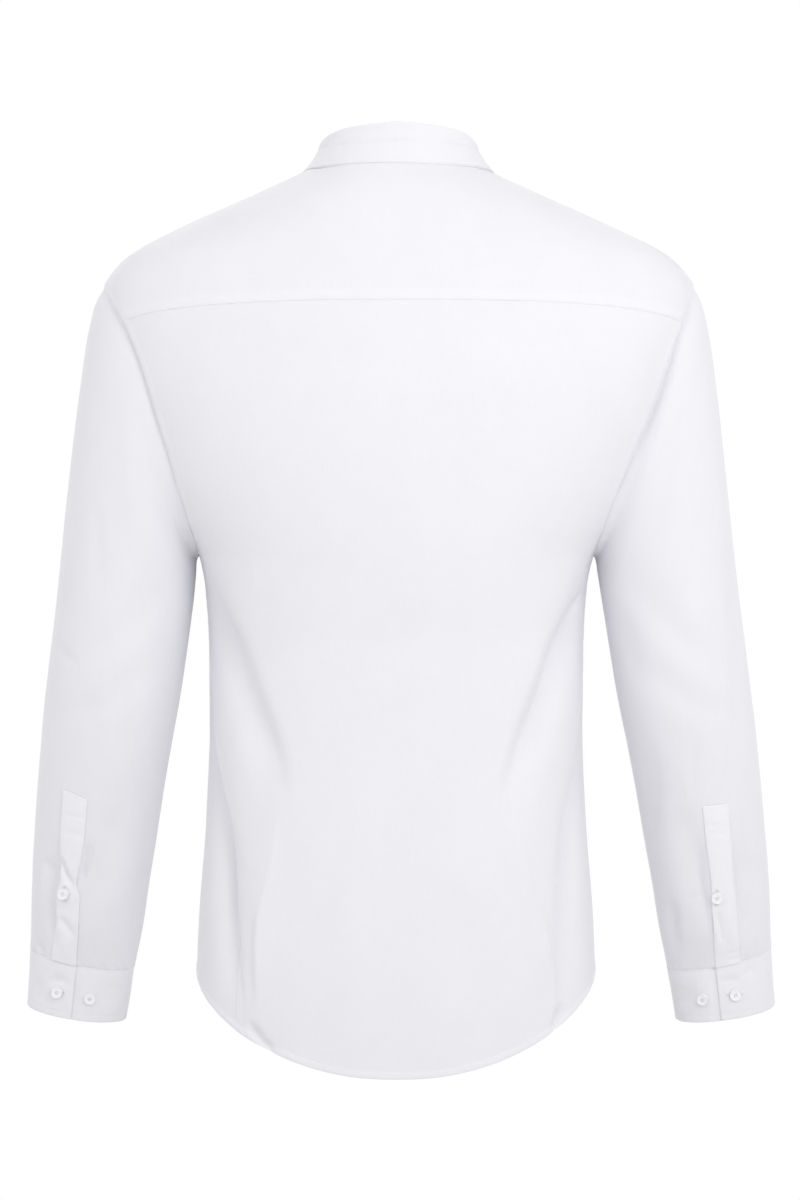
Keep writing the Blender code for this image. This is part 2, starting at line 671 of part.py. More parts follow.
def sleeve_surface(angles, place, arm):
    """Angles run from the outside of the arm over the back (90) to the inside (180)."""
    columns = table_columns(SLEEVE_RINGS)
    points = ring_points(columns, angles, place, arm, ease(place / SLEEVE_END))
    full_turn = np.mod(angles, 360.0)
    behind = full_turn <= 180.0
    half_turn = np.where(behind, full_turn, 360.0 - full_turn)
    back = armhole_seam(half_turn, arm.side, 1.0)
    front = armhole_seam(half_turn, arm.side, -1.0)
    seam = np.where(behind[..., None], back, front)
    start = body_points(seam[..., 0], seam[..., 1])
    ring_start = ring_points(columns, angles, np.zeros_like(place), arm, 0.0)
    fade = (1 - ease(place / SHOULDER_BLEND))[..., None]
    return points + (start - ring_start) * fade


def sleeve_points(angles, place, arm, lift=0.0):
    def surface(across, along):
        return sleeve_surface(across, along, arm)

    points = surface(angles, place)
    step = 0.02
    held = np.clip(place, step, SLEEVE_END - step)
    normals = surface_normal(surface, angles, held, 1.0, step) * arm.side
    folds = [f._replace(path=[(arm.side * x, z) for x, z in f.path]) for f in SLEEVE_FOLDS]
    shown = ease(place / SLEEVE_FOLDS_IN) * ease((SLEEVE_END - place) / SLEEVE_FOLDS_OUT)
    folded = add_folds(points, normals, folds)
    points = points + (folded - points) * shown[..., None]
    return points + normals * np.asarray(lift)[..., None]


def sleeve_angles():
    back = np.concatenate([BACK_ABOVE, BACK_BELOW[1:]])
    front = np.concatenate([FRONT_ABOVE, FRONT_BELOW[1:]])
    return np.concatenate([back, 360.0 - front[::-1][1:]])


def make_sleeve(collection, arm):
    places = np.linspace(0.0, SLEEVE_END, SLEEVE_ROWS + 1)
    angles, places = np.meshgrid(sleeve_angles(), places)
    points = sleeve_points(angles, places, arm)
    points = pull_in(points, SEAM_GAP, ["bottom", "top"])
    return cloth_object(collection, "sleeve_" + arm.name, points, COTTON,
                        closed=True, flip=arm.side > 0)


def make_cuff(collection, arm):
    """One strip round the wrist; its outer end lies over the inner one."""
    start = arm.edge_angle - math.degrees(CUFF_OVERLAP / WRIST_HALF_WIDTH)
    angles = np.linspace(start, arm.edge_angle + 360.0, CUFF_COLUMNS + 1)
    angle_grid, place = np.meshgrid(angles, np.linspace(0.0, 1.0, CUFF_ROWS + 1))
    points = ring_points(table_columns(CUFF_RINGS), angle_grid, place, arm, 1.0)
    sunk = -LAYER_STEP * (1 - ease((angles - arm.edge_angle) / CUFF_STEP_TURN))
    cosine = np.cos(np.radians(angles))
    sine = np.sin(np.radians(angles))
    outward = np.stack([arm.side * cosine, sine, np.zeros(len(angles))], axis=-1)
    points = points + outward[None] * sunk[None, :, None]
    points = pull_in(points, SEAM_GAP, ["bottom"])
    return cloth_object(collection, "cuff_" + arm.name, points, COTTON_DOUBLE,
                        flip=arm.side > 0)


def strip_angle(across, place):
    """The angle on the sleeve that lies a given distance outwards of its middle."""
    columns = table_columns(SLEEVE_RINGS)
    knots = np.arange(len(SLEEVE_RINGS), dtype=float)
    outer_x = smooth_curve(knots, columns[0], place)
    inner_x = smooth_curve(knots, columns[2], place)
    return np.degrees(np.arccos(np.clip(across / ((outer_x - inner_x) / 2), -1.0, 1.0)))


def strip_foot_shift(arm):
    """How far outwards the strip's middle meets the cuff, beside the cuff's outer end."""
    return WRIST_HALF_WIDTH * math.cos(math.radians(arm.edge_angle)) + SLEEVE_STRIP_WIDTH / 2


def make_sleeve_placket(collection, arm):
    share = np.linspace(0.0, 1.0, STRIP_ROWS + 1)[:, None]
    across = np.linspace(-0.5, 0.5, STRIP_COLUMNS + 1)[None, :]
    reached = arm.strip_top + (1 - arm.strip_top) * share + arm.strip_slant * across * (1 - share)
    place = reached * SLEEVE_END
    shift = arm.strip_top_shift + (strip_foot_shift(arm) - arm.strip_top_shift) * share
    angles = strip_angle(shift + across * SLEEVE_STRIP_WIDTH, place)
    points = sleeve_points(angles, place, arm, WALL + SEAM_GAP)
    points = pull_in(points, SEAM_GAP, ["top"])
    return cloth_object(collection, "sleeve_placket_" + arm.name, points, COTTON_DOUBLE,
                        flip=arm.side < 0)


# Buttons

def make_button(collection, name, seat, normal, radius=BUTTON_RADIUS):
    """A turned disc with a dished face, lying with its back on its seat."""
    half = BUTTON_THICKNESS / 2
    dish = half - BUTTON_DISH
    profile = [(0.0, dish), (radius * BUTTON_DISH_RADIUS, dish)]
    profile += [(radius * rim.radius, half * rim.height) for rim in BUTTON_RIM]
    profile.append((0.0, -half))
    mesh = bpy.data.meshes.new(name)
    edges = [(i, i + 1) for i in range(len(profile) - 1)]
    mesh.from_pydata([(r * MM, 0.0, h * MM) for r, h in profile], edges, [])
    obj = bpy.data.objects.new(name, mesh)
    obj.data.materials.append(make_material(name, SHELL_BUTTON))
    collection.objects.link(obj)
    turn = obj.modifiers.new("turned", "SCREW")
    turn.steps = BUTTON_SEGMENTS
    turn.render_steps = BUTTON_SEGMENTS
    turn.use_merge_vertices = True
    turn.merge_threshold = 0.00001
    turn.use_smooth_shade = True
    normal = np.array(normal) / np.linalg.norm(normal)
    centre = np.array(seat) + normal * (SEAM_GAP + half)
    side_way = np.cross([0.0, 0.0, 1.0], normal)
    side_way /= np.linalg.norm(side_way)
    up_way = np.cross(normal, side_way)
    placed = np.eye(4)
    placed[:3, 0] = side_way
    placed[:3, 1] = up_way
    placed[:3, 2] = normal
    placed[:3, 3] = centre * MM
    obj.matrix_world = Matrix(placed.tolist())
    return obj


def seat_and_normal(surface, across, along, step_along):
    across = np.array([float(across)])
    along = np.array([float(along)])
    seat = surface(across, along)[0]
    normal = surface_normal(surface, across, along, 3.0, step_along)[0]
    return seat, normal


def make_front_buttons(collection):
    for number in range(FRONT_BUTTONS):
        climb = climb_at(FRONT_BUTTON_TOP_Z - number * FRONT_BUTTON_PITCH)
        seat, normal = seat_and_normal(body_points, 180.0, climb, 6.0)
        make_button(collection, f"button_front_{number + 1}", seat, normal)


def make_collar_button(collection):
    middle = (NECK[-1].seam_z + NECK[-1].top_z) / 2
    seat_y = body_surface(*neck_seam(np.array([180.0]))[0])[1]
    top_y = COLLAR_TOP_SHIFT - COLLAR_TOP_HALF_DEPTH
    seat = [0.0, seat_y + (top_y - seat_y) * collar_inward(0.5), middle]
    height = NECK[-1].top_z - NECK[-1].seam_z
    normal = [0.0, -height, top_y - seat_y]
    make_button(collection, "button_collar", seat, normal)


def make_cuff_buttons(collection, arm):
    columns = table_columns(CUFF_RINGS)

    def surface(across, along):
        return ring_points(columns, across, along, arm, 1.0)

    for name, distance in (("fastened", -CUFF_BUTTON_INSET), ("spare", CUFF_BUTTON_INSET)):
        angle = arm.edge_angle + math.degrees(distance / WRIST_HALF_WIDTH)
        seat, normal = seat_and_normal(surface, angle, CUFF_BUTTON_PLACE, 0.1)
        title = f"button_cuff_{arm.name}_{name}"
        make_button(collection, title, seat, normal * arm.side, SLEEVE_BUTTON_RADIUS)


def make_sleeve_placket_button(collection, arm):
    place = np.array([SLEEVE_BUTTON_PLACE])
    angle = strip_angle(np.array([strip_foot_shift(arm) + arm.button_shift]), place)[0]

    def surface(across, along):
        return sleeve_points(across, along, arm, WALL + SEAM_GAP)

    seat, normal = seat_and_normal(surface, angle, SLEEVE_BUTTON_PLACE, 0.1)
    title = "button_sleeve_" + arm.name
    make_button(collection, title, seat, normal * arm.side, SLEEVE_BUTTON_RADIUS)


def main():
    clear_scene()
    collection = make_collection("mandarin_collar_shirt")
    make_back(collection)
    make_fronts(collection)
    make_front_placket(collection)
    make_yoke(collection)
    make_collar_band(collection)
    make_collar_button(collection)
    make_front_buttons(collection)
    for arm in ARMS:
        make_sleeve(collection, arm)
        make_cuff(collection, arm)
        make_sleeve_placket(collection, arm)
        make_cuff_buttons(collection, arm)
        make_sleeve_placket_button(collection, arm)


main()
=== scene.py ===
import math

import bpy
import numpy as np
from mathutils import Matrix, Vector


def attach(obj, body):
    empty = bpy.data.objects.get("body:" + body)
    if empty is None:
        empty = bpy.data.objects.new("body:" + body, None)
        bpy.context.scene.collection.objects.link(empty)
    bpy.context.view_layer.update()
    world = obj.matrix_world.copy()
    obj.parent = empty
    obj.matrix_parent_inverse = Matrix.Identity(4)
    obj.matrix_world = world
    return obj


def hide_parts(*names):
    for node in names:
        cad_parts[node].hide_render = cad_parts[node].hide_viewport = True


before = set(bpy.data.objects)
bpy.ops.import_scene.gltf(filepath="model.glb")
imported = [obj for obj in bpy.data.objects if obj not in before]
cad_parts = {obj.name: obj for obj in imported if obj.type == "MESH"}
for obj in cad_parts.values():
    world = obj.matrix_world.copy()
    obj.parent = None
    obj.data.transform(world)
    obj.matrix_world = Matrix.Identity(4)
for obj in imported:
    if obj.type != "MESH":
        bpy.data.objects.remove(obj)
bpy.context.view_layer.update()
mm = 0.001

# The form that the solids share, in millimetres: z, half width, back, front, squareness
bodyForm = {
    "sections": [
        (-770.0, 166.5, 113.0, 118.0, 2.50), (-700.0, 166.0, 113.0, 118.0, 2.50),
        (-660.0, 164.5, 112.0, 118.0, 2.50), (-605.0, 162.0, 108.0, 117.0, 2.50),
        (-540.0, 157.5, 103.0, 116.0, 2.45), (-460.0, 154.5, 99.0, 115.0, 2.40),
        (-400.0, 154.5, 100.0, 117.0, 2.40), (-345.0, 157.5, 107.0, 122.0, 2.35),
        (-318.0, 163.0, 111.0, 125.0, 2.30), (-292.0, 178.0, 114.0, 125.0, 2.25),
        (-266.0, 194.0, 116.5, 124.0, 2.20), (-225.0, 213.0, 118.0, 121.0, 2.20),
        (-192.0, 226.0, 118.0, 117.0, 2.20), (-160.0, 236.0, 115.0, 111.0, 2.20),
        (-136.0, 242.0, 111.0, 106.0, 2.20), (-112.0, 246.0, 106.0, 99.0, 2.15),
        (-96.0, 244.5, 102.0, 94.0, 2.10), (-86.0, 238.5, 98.5, 90.0, 2.10),
        (-73.0, 226.5, 94.5, 85.5, 2.10), (-56.5, 198.5, 89.0, 79.0, 2.05),
        (-40.0, 163.7, 83.0, 71.5, 2.00), (-23.0, 125.5, 75.0, 63.5, 2.00),
        (-6.5, 89.5, 65.0, 54.0, 2.00), (1.5, 73.0, 60.0, 49.0, 2.00),
    ],
    "lean": 2.0, "leanTop": -90.0, "leanFoot": -330.0,
    # z, share of the half width at the back, and at the front
    "armhole": [
        (-318.0, 1.000, 1.000), (-292.0, 0.954, 0.955), (-266.0, 0.918, 0.921),
        (-225.0, 0.902, 0.908), (-192.0, 0.902, 0.908), (-160.0, 0.909, 0.914),
        (-136.0, 0.924, 0.935), (-112.0, 0.960, 0.976), (-96.0, 1.000, 1.000),
    ],
    "armholeTop": -96.0, "underarm": -318.0, "armholeSkew": 0.022,
    # z and turn
    "sideSeam": [
        (-740.0, 46.5), (-700.0, 46.5), (-660.0, 47.5), (-631.0, 48.5), (-580.0, 52.0),
        (-550.0, 55.5), (-513.0, 60.0), (-490.0, 65.0), (-461.0, 70.0), (-430.0, 79.0),
        (-400.0, 86.0), (-318.0, 90.0),
    ],
    # angle from the back, seam height and top height of the collar
    "neck": [
        (0.0, 0.0, 35.0), (45.0, 0.0, 30.5), (75.0, -0.5, 24.0), (90.0, -1.5, 20.5),
        (105.0, -5.5, 15.5), (120.0, -10.5, 9.0), (140.0, -20.0, 0.5), (160.0, -31.0, -6.0),
        (180.0, -38.0, -9.0),
    ],
    "backHem": -737.0, "frontHem": -716.0, "sideHem": -660.0, "hemCurve": 2.35,
    "yokeSeam": -114.4, "yokeCurve": 2.8, "backCorner": -128.0, "frontCorner": -122.0,
    "yokeNeckAngle": 118.0,
}

# Soft folds that the solids have too: facing, path, reach, depth; the first two on the
# sleeves are shallower here
bodyFolds = [
    (1, [(158, -350), (128, -420), (104, -500)], 15.0, -6.0),
    (1, [(-158, -345), (-124, -420), (-88, -500)], 13.0, -6.5),
    (1, [(140, -380), (104, -470), (86, -540)], 16.0, 2.5),
    (1, [(-136, -380), (-92, -470), (-70, -540)], 16.0, 2.5),
    (1, [(96, -515), (110, -600), (116, -700)], 11.0, 3.0),
    (1, [(-84, -515), (-104, -590), (-124, -680)], 11.0, 3.0),
    (1, [(146, -500), (136, -580), (132, -690)], 9.0, -4.5),
    (1, [(-143, -500), (-137, -580), (-134, -690)], 9.0, -4.5),
    (-1, [(150, -345), (118, -420), (84, -500)], 15.0, -6.0),
    (-1, [(-150, -345), (-112, -430), (-80, -515)], 15.0, -6.0),
    (-1, [(120, -520), (112, -600), (108, -690)], 14.0, -4.0),
    (-1, [(-118, -510), (-112, -600), (-104, -690)], 14.0, -4.0),
    (-1, [(205, -150), (150, -190), (95, -210)], 14.0, -4.0),
    (-1, [(-205, -150), (-152, -188), (-98, -214)], 14.0, -4.0),
]
sleeveFolds = [
    (1, [(190, -335), (225, -380), (262, -410)], 14.0, -2.4),
    (1, [(196, -400), (236, -436), (280, -452)], 12.0, -2.0),
    (1, [(232, -520), (240, -560), (250, -610)], 11.0, -3.0),
    (1, [(286, -560), (296, -600), (300, -640)], 9.0, -2.5),
    (-1, [(190, -340), (228, -390), (276, -410)], 14.0, -4.0),
    (-1, [(200, -420), (244, -440), (288, -430)], 13.0, -4.5),
    (-1, [(205, -470), (246, -480), (292, -470)], 12.0, -4.0),
    (-1, [(240, -560), (250, -600), (256, -645)], 11.0, -3.0),
]

# Finer creases on the body: facing, path, reach on both sides of the path, depth
bodyCreases = [
    (1, [(167, -318), (152, -355), (138, -388), (124, -420), (110, -454),
         (99, -484), (94, -510), (93, -545)], (15, 8), -5.4),
    (1, [(172, -360), (156, -425), (151, -475), (145, -509), (139, -539), (135, -575),
         (134, -596), (131, -628), (129, -649), (121, -687)], (13, 1.2), -10.0),
    (1, [(95, -515), (102, -570), (109, -599), (113, -626), (113, -696)], (2.4, 2.4), 1.0),
    (1, [(118, -588), (118, -644), (117, -692)], (5, 3.5), -1.4),
    (1, [(122, -691), (110, -708), (97, -720)], (3, 3.5), -4.6),
    (1, [(79, -579), (64, -658), (58, -727)], (18, 20), -1.6),
    (1, [(117, -324), (116, -356)], (2, 2), 0.5),
    (1, [(-163, -309), (-151, -345), (-141, -375), (-131, -394), (-122, -419), (-116, -437),
         (-106, -459), (-94, -488), (-86, -516), (-80, -548)], (7, 16), -5.6),
    (1, [(-162, -310), (-158, -326), (-155, -344), (-143, -372)], (2.0, 9), -8.0),
    (1, [(-134, -427), (-118, -475), (-104, -527), (-102, -583)], (13, 14), 1.4),
    (1, [(-88, -507), (-88, -529)], (2, 2), 0.9),
    (1, [(-91, -531), (-97, -555), (-106, -590), (-114, -608), (-123, -643), (-126, -679)], (3, 3), 1.0),
    (1, [(-150, -446), (-145, -490), (-139, -529), (-135, -566),
         (-133, -597), (-131, -627), (-130, -690)], (2.4, 12), -5.4),
    (1, [(-144, -500), (-141, -548), (-138, -601)], (2.5, 3), -1.6),
    (1, [(-133, -680), (-124, -706)], (3.5, 3), -3.6),
    (1, [(-25, -563), (-43, -626), (-57, -690)], (22, 22), -1.2),
    (1, [(189, -153), (179, -158)], (2.5, 2.5), -0.5),
    (1, [(184, -161), (174, -163)], (2.5, 2.5), -0.5),
    (1, [(-193, -95), (-208, -111)], (7, 8), -0.8),
    (1, [(140, -72), (110, -102)], (9, 9), -0.6),
    (-1, [(146, -352), (126, -396), (104, -436), (92, -480)], (6, 10), -3.0),
    (-1, [(-142, -356), (-120, -402), (-98, -446), (-88, -500)], (10, 5), -3.2),
    (-1, [(150, -440), (146, -520), (138, -600), (134, -650)], (4, 4), -2.6),
    (-1, [(-149, -430), (-144, -510), (-139, -590), (-136, -646)], (4, 4), -2.8),
    (-1, [(112, -500), (120, -580), (124, -660)], (3, 3), 0.9),
    (-1, [(-108, -510), (-118, -590), (-120, -668)], (3, 3), 0.9),
    (-1, [(196, -140), (160, -186), (120, -206)], (5, 9), -1.8),
    (-1, [(-198, -138), (-158, -184), (-116, -210)], (9, 5), -1.8),
    (-1, [(62, -70), (58, -160), (50, -260)], (12, 12), -1.2),
    (-1, [(-66, -76), (-60, -170), (-54, -250)], (12, 12), -1.2),
    (-1, [(44, -420), (52, -520), (56, -640)], (14, 14), -1.6),
    (-1, [(-40, -440), (-50, -530), (-58, -650)], (14, 14), -1.6),
]
# The same on the sleeves and cuffs, with the arm's side first
sleeveCreases = [
    (1, 1, [(218, -192), (216, -273), (213, -334)], (13, 13), 1.4),
    (1, 1, [(246, -265), (246, -322), (245, -365)], (4, 6), -0.9),
    (1, 1, [(230, -400), (227, -453), (228, -493)], (8, 9), -1.2),
    (1, 1, [(285, -386), (274, -400), (262, -411)], (4, 5), -1.3),
    (1, 1, [(279, -554), (285, -591), (286, -619), (284, -650)], (5, 2.4), -4.2),
    (1, 1, [(295, -558), (298, -590), (299, -614), (295, -636)], (5, 5), 2.4),
    (1, 1, [(207, -558), (212, -607), (220, -644)], (6, 6), -1.6),
    (1, 1, [(280, -564), (275, -578), (267, -594)], (2.4, 2.4), -3.8),
    (1, 1, [(254, -548), (257, -572), (264, -594)], (2.2, 2.4), -4.2),
    (1, 1, [(283, -615), (274, -625), (267, -637)], (3.4, 3.4), -2.6),
    (1, 1, [(278, -594), (268, -607)], (6, 7), 1.3),
    (1, 1, [(278, -634), (274, -654)], (5, 5), 0.9),
    (1, 1, [(296, -566), (284, -587)], (3.5, 3.5), -1.3),
    (1, 1, [(303, -639), (291, -652)], (3, 3), -1.2),
    (1, 1, [(236, -639), (230, -606)], (6, 6), -0.9),
    (1, 1, [(277, -529), (266, -533), (254, -534)], (1.6, 1.6), -0.6),
    (1, 1, [(277, -545), (256, -548)], (3, 2), -0.6),
    (-1, 1, [(-269, -248), (-274, -322), (-278, -404), (-277, -470), (-273, -519)], (7, 10), -1.8),
    (-1, 1, [(-225, -192), (-236, -322), (-241, -428)], (12, 13), 1.3),
    (-1, 1, [(-260, -427), (-260, -466), (-259, -504)], (3.5, 3.5), -1.0),
    (-1, 1, [(-267, -429), (-267, -507)], (3.5, 3.5), 0.8),
    (-1, 1, [(-239, -458), (-242, -505), (-245, -524)], (3.5, 3.5), -1.0),
    (-1, 1, [(-203, -454), (-208, -519), (-211, -574)], (8, 8), -1.7),
    (-1, 1, [(-225, -598), (-228, -632), (-232, -652)], (5, 5), -3.0),
    (-1, 1, [(-275, -555), (-279, -590), (-285, -623), (-289, -644)], (2.5, 6), -3.0),
    (-1, 1, [(-248, -544), (-249, -586), (-254, -606), (-261, -634)], (5, 2.5), -3.0),
    (-1, 1, [(-237, -599), (-253, -601)], (2, 2), -1.5),
    (-1, 1, [(-239, -606), (-254, -608)], (2, 2), -1.0),
    (-1, 1, [(-255, -602), (-260, -620), (-266, -642)], (2.4, 2.4), 1.4),
    (-1, 1, [(-263, -609), (-268, -642)], (2.4, 2.4), -2.2),
    (-1, 1, [(-271, -606), (-276, -643)], (2.2, 2.2), 1.0),
    (-1, 1, [(-278, -602), (-282, -643)], (2, 2), -1.0),
    (-1, 1, [(-271, -648), (-284, -646)], (1.6, 1.6), -0.9),
    (-1, 1, [(-271, -653), (-285, -651)], (1.6, 1.6), -0.9),
    (-1, 1, [(-302, -578), (-304, -632)], (4, 4), 1.1),
    (-1, 1, [(-252, -539), (-270, -541)], (1.6, 1.6), -0.6),
    (-1, 1, [(-252, -546), (-270, -547)], (1.6, 1.6), -0.5),
    (-1, 1, [(-180, -355), (-192, -404), (-206, -437)], (8, 8), -1.0),
    (1, -1, [(226, -206), (232, -290), (236, -352)], (10, 12), 1.4),
    (1, -1, [(252, -300), (262, -380), (268, -450)], (5, 7), -1.4),
    (1, -1, [(214, -390), (236, -420), (256, -434)], (4, 6), -1.6),
    (1, -1, [(222, -470), (244, -494), (266, -500)], (4, 6), -1.6),
    (1, -1, [(284, -540), (290, -600), (288, -640)], (4, 5), -1.8),
    (1, -1, [(236, -590), (240, -630), (238, -652)], (3, 3), -1.4),
    (-1, -1, [(-224, -206), (-230, -286), (-238, -350)], (11, 10), 1.4),
    (-1, -1, [(-256, -310), (-264, -388), (-270, -456)], (6, 5), -1.4),
    (-1, -1, [(-212, -384), (-234, -418), (-258, -430)], (6, 4), -1.6),
    (-1, -1, [(-220, -478), (-246, -498), (-268, -502)], (6, 4), -1.6),
    (-1, -1, [(-286, -546), (-290, -604), (-290, -642)], (5, 4), -1.8),
    (-1, -1, [(-240, -594), (-242, -632), (-240, -652)], (3, 3), -1.4),
]
cuffCreases = [
    (1, 1, [(291, -667), (283, -672), (273, -669)], (5, 5), -2.4),
    (1, 1, [(269, -670), (267, -695)], (3, 2), -0.9),
    (1, 1, [(303, -668), (296, -694)], (6, 6), -1.1),
    (1, 1, [(238, -669), (241, -694)], (7, 7), -0.7),
    (-1, 1, [(-267, -675), (-275, -670), (-284, -674)], (3, 3), -1.3),
    (-1, 1, [(-250, -664), (-249, -684)], (4, 4), 0.7),
    (-1, 1, [(-287, -661), (-299, -666)], (4, 4), -0.8),
    (-1, 1, [(-237, -675), (-240, -696)], (6, 6), -0.8),
]


# curves through short tables

def columnsOf(rows):
    return [np.array(column, dtype=float) for column in zip(*rows)]


def smoothCurve(knots, values, at):
    # passes through every row and never overshoots
    step = np.diff(knots)
    slope = np.diff(values) / step
    tangent = np.zeros(len(knots))
    tangent[0] = slope[0]
    tangent[-1] = slope[-1]
    sameWay = slope[:-1] * slope[1:] > 0
    weightA = 2 * step[1:] + step[:-1]
    weightB = step[1:] + 2 * step[:-1]
    first = np.where(sameWay, slope[:-1], 1.0)
    second = np.where(sameWay, slope[1:], 1.0)
    inner = (weightA + weightB) / (weightA / first + weightB / second)
    tangent[1:-1] = np.where(sameWay, inner, 0.0)
    at = np.clip(at, knots[0], knots[-1])
    index = np.clip(np.searchsorted(knots, at, side="right") - 1, 0, len(step) - 1)
    width = step[index]
    t = (at - knots[index]) / width
    start = values[index] * (1 + 2 * t) * (1 - t) ** 2 + tangent[index] * width * t * (1 - t) ** 2
    end = values[index + 1] * t * t * (3 - 2 * t) + tangent[index + 1] * width * t * t * (t - 1)
    return start + end


def rowsAt(at, reached, rows):
    # each column of the rows, read off between them
    return np.stack([np.interp(at, reached, rows[:, k]) for k in range(rows.shape[1])], axis=-1)


def unit(vector):
    return np.array(vector) / np.linalg.norm(vector)


def ease(t):
    t = np.clip(t, 0.0, 1.0)
    return t * t * (3 - 2 * t)


def softNoise(u, v, cellU, cellV, seed):
    # uneven heights from -1 to 1 on a soft grid, the same on every run
    count = 64
    grid = np.random.default_rng(seed).uniform(-1.0, 1.0, (count, count))
    iu = np.floor(u / cellU).astype(int)
    iv = np.floor(v / cellV).astype(int)
    fu = ease(u / cellU - iu)
    fv = ease(v / cellV - iv)
    low = grid[iu % count, iv % count] * (1 - fu) + grid[(iu + 1) % count, iv % count] * fu
    high = grid[iu % count, (iv + 1) % count] * (1 - fu)
    high += grid[(iu + 1) % count, (iv + 1) % count] * fu
    return low * (1 - fv) + high * fv


# the body's surface: turn in degrees from the middle of the back, climb in mm

sectionZ, sectionWidth, sectionBack, sectionFront, sectionPower = columnsOf(bodyForm["sections"])
sectionClimb = np.concatenate([[0.0], np.cumsum(np.hypot(np.diff(sectionZ), np.diff(sectionWidth)))])


def climbAt(z):
    fine = np.linspace(sectionClimb[0], sectionClimb[-1], 2000)
    return np.interp(z, smoothCurve(sectionClimb, sectionZ, fine), fine)


def leanAt(z):
    reached = (z - bodyForm["leanTop"]) / (bodyForm["leanFoot"] - bodyForm["leanTop"])
    return bodyForm["lean"] * ease(reached)


def bodySurface(turn, climb):
    halfWidth = smoothCurve(sectionClimb, sectionWidth, climb)
    back = smoothCurve(sectionClimb, sectionBack, climb)
    front = smoothCurve(sectionClimb, sectionFront, climb)
    power = smoothCurve(sectionClimb, sectionPower, climb)
    sine = np.sin(np.radians(turn))
    cosine = np.cos(np.radians(turn))
    size = (np.abs(sine) ** power + np.abs(cosine) ** power) ** (1 / power)
    depth = np.where(cosine > 0, back, front)
    z = smoothCurve(sectionClimb, sectionZ, climb)
    return np.stack([halfWidth * sine / size + leanAt(z), depth * cosine / size, z], axis=-1)


def turnAtShare(share, climb, facing):
    power = smoothCurve(sectionClimb, sectionPower, climb)
    rest = np.clip(1 - np.abs(share) ** power, 0.0, 1.0) ** (1 / power)
    return np.degrees(np.arctan2(share, facing * rest))


def turnAtX(x, climb, facing):
    return turnAtShare(x / smoothCurve(sectionClimb, sectionWidth, climb), climb, facing)


def surfaceNormal(surface, across, along, stepAcross, stepAlong):
    dAcross = surface(across + stepAcross, along) - surface(across - stepAcross, along)
    dAlong = surface(across, along + stepAlong) - surface(across, along - stepAlong)
    normal = np.cross(dAlong, dAcross)
    return normal / np.linalg.norm(normal, axis=-1, keepdims=True)


def smoothPath(path):
    path = np.array(path, dtype=float)
    reached = np.concatenate([[0.0], np.cumsum(np.hypot(*np.diff(path, axis=0).T))])
    at = np.linspace(0.0, reached[-1], 6 * len(path))
    return np.stack([smoothCurve(reached, path[:, 0], at), smoothCurve(reached, path[:, 1], at)], axis=-1)


def distanceToPath(x, z, path):
    # distance, share of the length reached, and +1 or -1 for the side of the path
    lengths = np.hypot(*np.diff(path, axis=0).T)
    best = np.full(x.shape, 1e9)
    share = np.zeros(x.shape)
    side = np.ones(x.shape)
    done = 0.0
    for start, end, length in zip(path[:-1], path[1:], lengths):
        way = (end - start) / max(length, 1e-6)
        along = (x - start[0]) * way[0] + (z - start[1]) * way[1]
        held = np.clip(along, 0.0, length)
        distance = np.hypot(x - start[0] - held * way[0], z - start[1] - held * way[1])
        turnWay = way[0] * (z - start[1]) - way[1] * (x - start[0])
        nearer = distance < best
        best = np.where(nearer, distance, best)
        share = np.where(nearer, (done + held) / lengths.sum(), share)
        side = np.where(nearer, np.sign(turnWay), side)
        done += length
    return best, share, side


def foldOffsets(points, normals, folds, taperShare=0.3, endDepth=0.25):
    # each fold is a soft trough, or a ridge if its depth is positive, beside a path
    offset = np.zeros(points.shape[:-1])
    for facing, path, reach, depth in folds:
        path = smoothPath(path)
        reachPlus, reachMinus = reach if isinstance(reach, tuple) else (reach, reach)
        low = path.min(axis=0) - 3 * max(reachPlus, reachMinus)
        high = path.max(axis=0) + 3 * max(reachPlus, reachMinus)
        near = (points[..., 0] > low[0]) & (points[..., 0] < high[0])
        near &= (points[..., 2] > low[1]) & (points[..., 2] < high[1])
        near &= facing * normals[..., 1] > 0
        if not near.any():
            continue
        x = points[near][:, 0]
        z = points[near][:, 2]
        distance, share, side = distanceToPath(x, z, path)
        across = distance / np.where(side > 0, reachPlus, reachMinus)
        shape = np.exp(-across ** 2)
        taper = ease(share / taperShare) * ease((1 - share) / taperShare)
        strength = endDepth + (1 - endDepth) * taper
        shown = ease(facing * normals[near][:, 1] * 2.0)
        offset[near] += depth * shape * strength * shown
    return offset


drape = {"broad": 0.9, "middle": 0.30, "small": 0.07}


def drapeOffsets(u, v, seed):
    # the slight unevenness of cloth that hangs: broad, middle and small swells
    offset = drape["broad"] * softNoise(u, v, 70.0, 130.0, seed)
    offset += drape["middle"] * softNoise(u + v * 0.2, v, 26.0, 52.0, seed + 1)
    return offset + drape["small"] * softNoise(u, v, 9.0, 15.0, seed + 2)


def bodyPoints(turn, climb, lift=0.0):
    points = bodySurface(turn, climb)
    normals = surfaceNormal(bodySurface, turn, climb, 0.5, 1.0)
    offset = foldOffsets(points, normals, bodyFolds)
    offset += foldOffsets(points, normals, bodyCreases, 0.35, 0.0)
    spread = np.mod(np.asarray(turn) + 180.0, 360.0) * 2.7
    offset += drapeOffsets(spread, climb, 11) + lift
    return points + normals * offset[..., None]


def onBody(grid):
    return bodySurface(grid[..., 0], grid[..., 1])


def clothOnBody(grid, lift=0.0):
    return bodyPoints(grid[..., 0], grid[..., 1], lift)


# seams on the body's surface, as turns and climbs

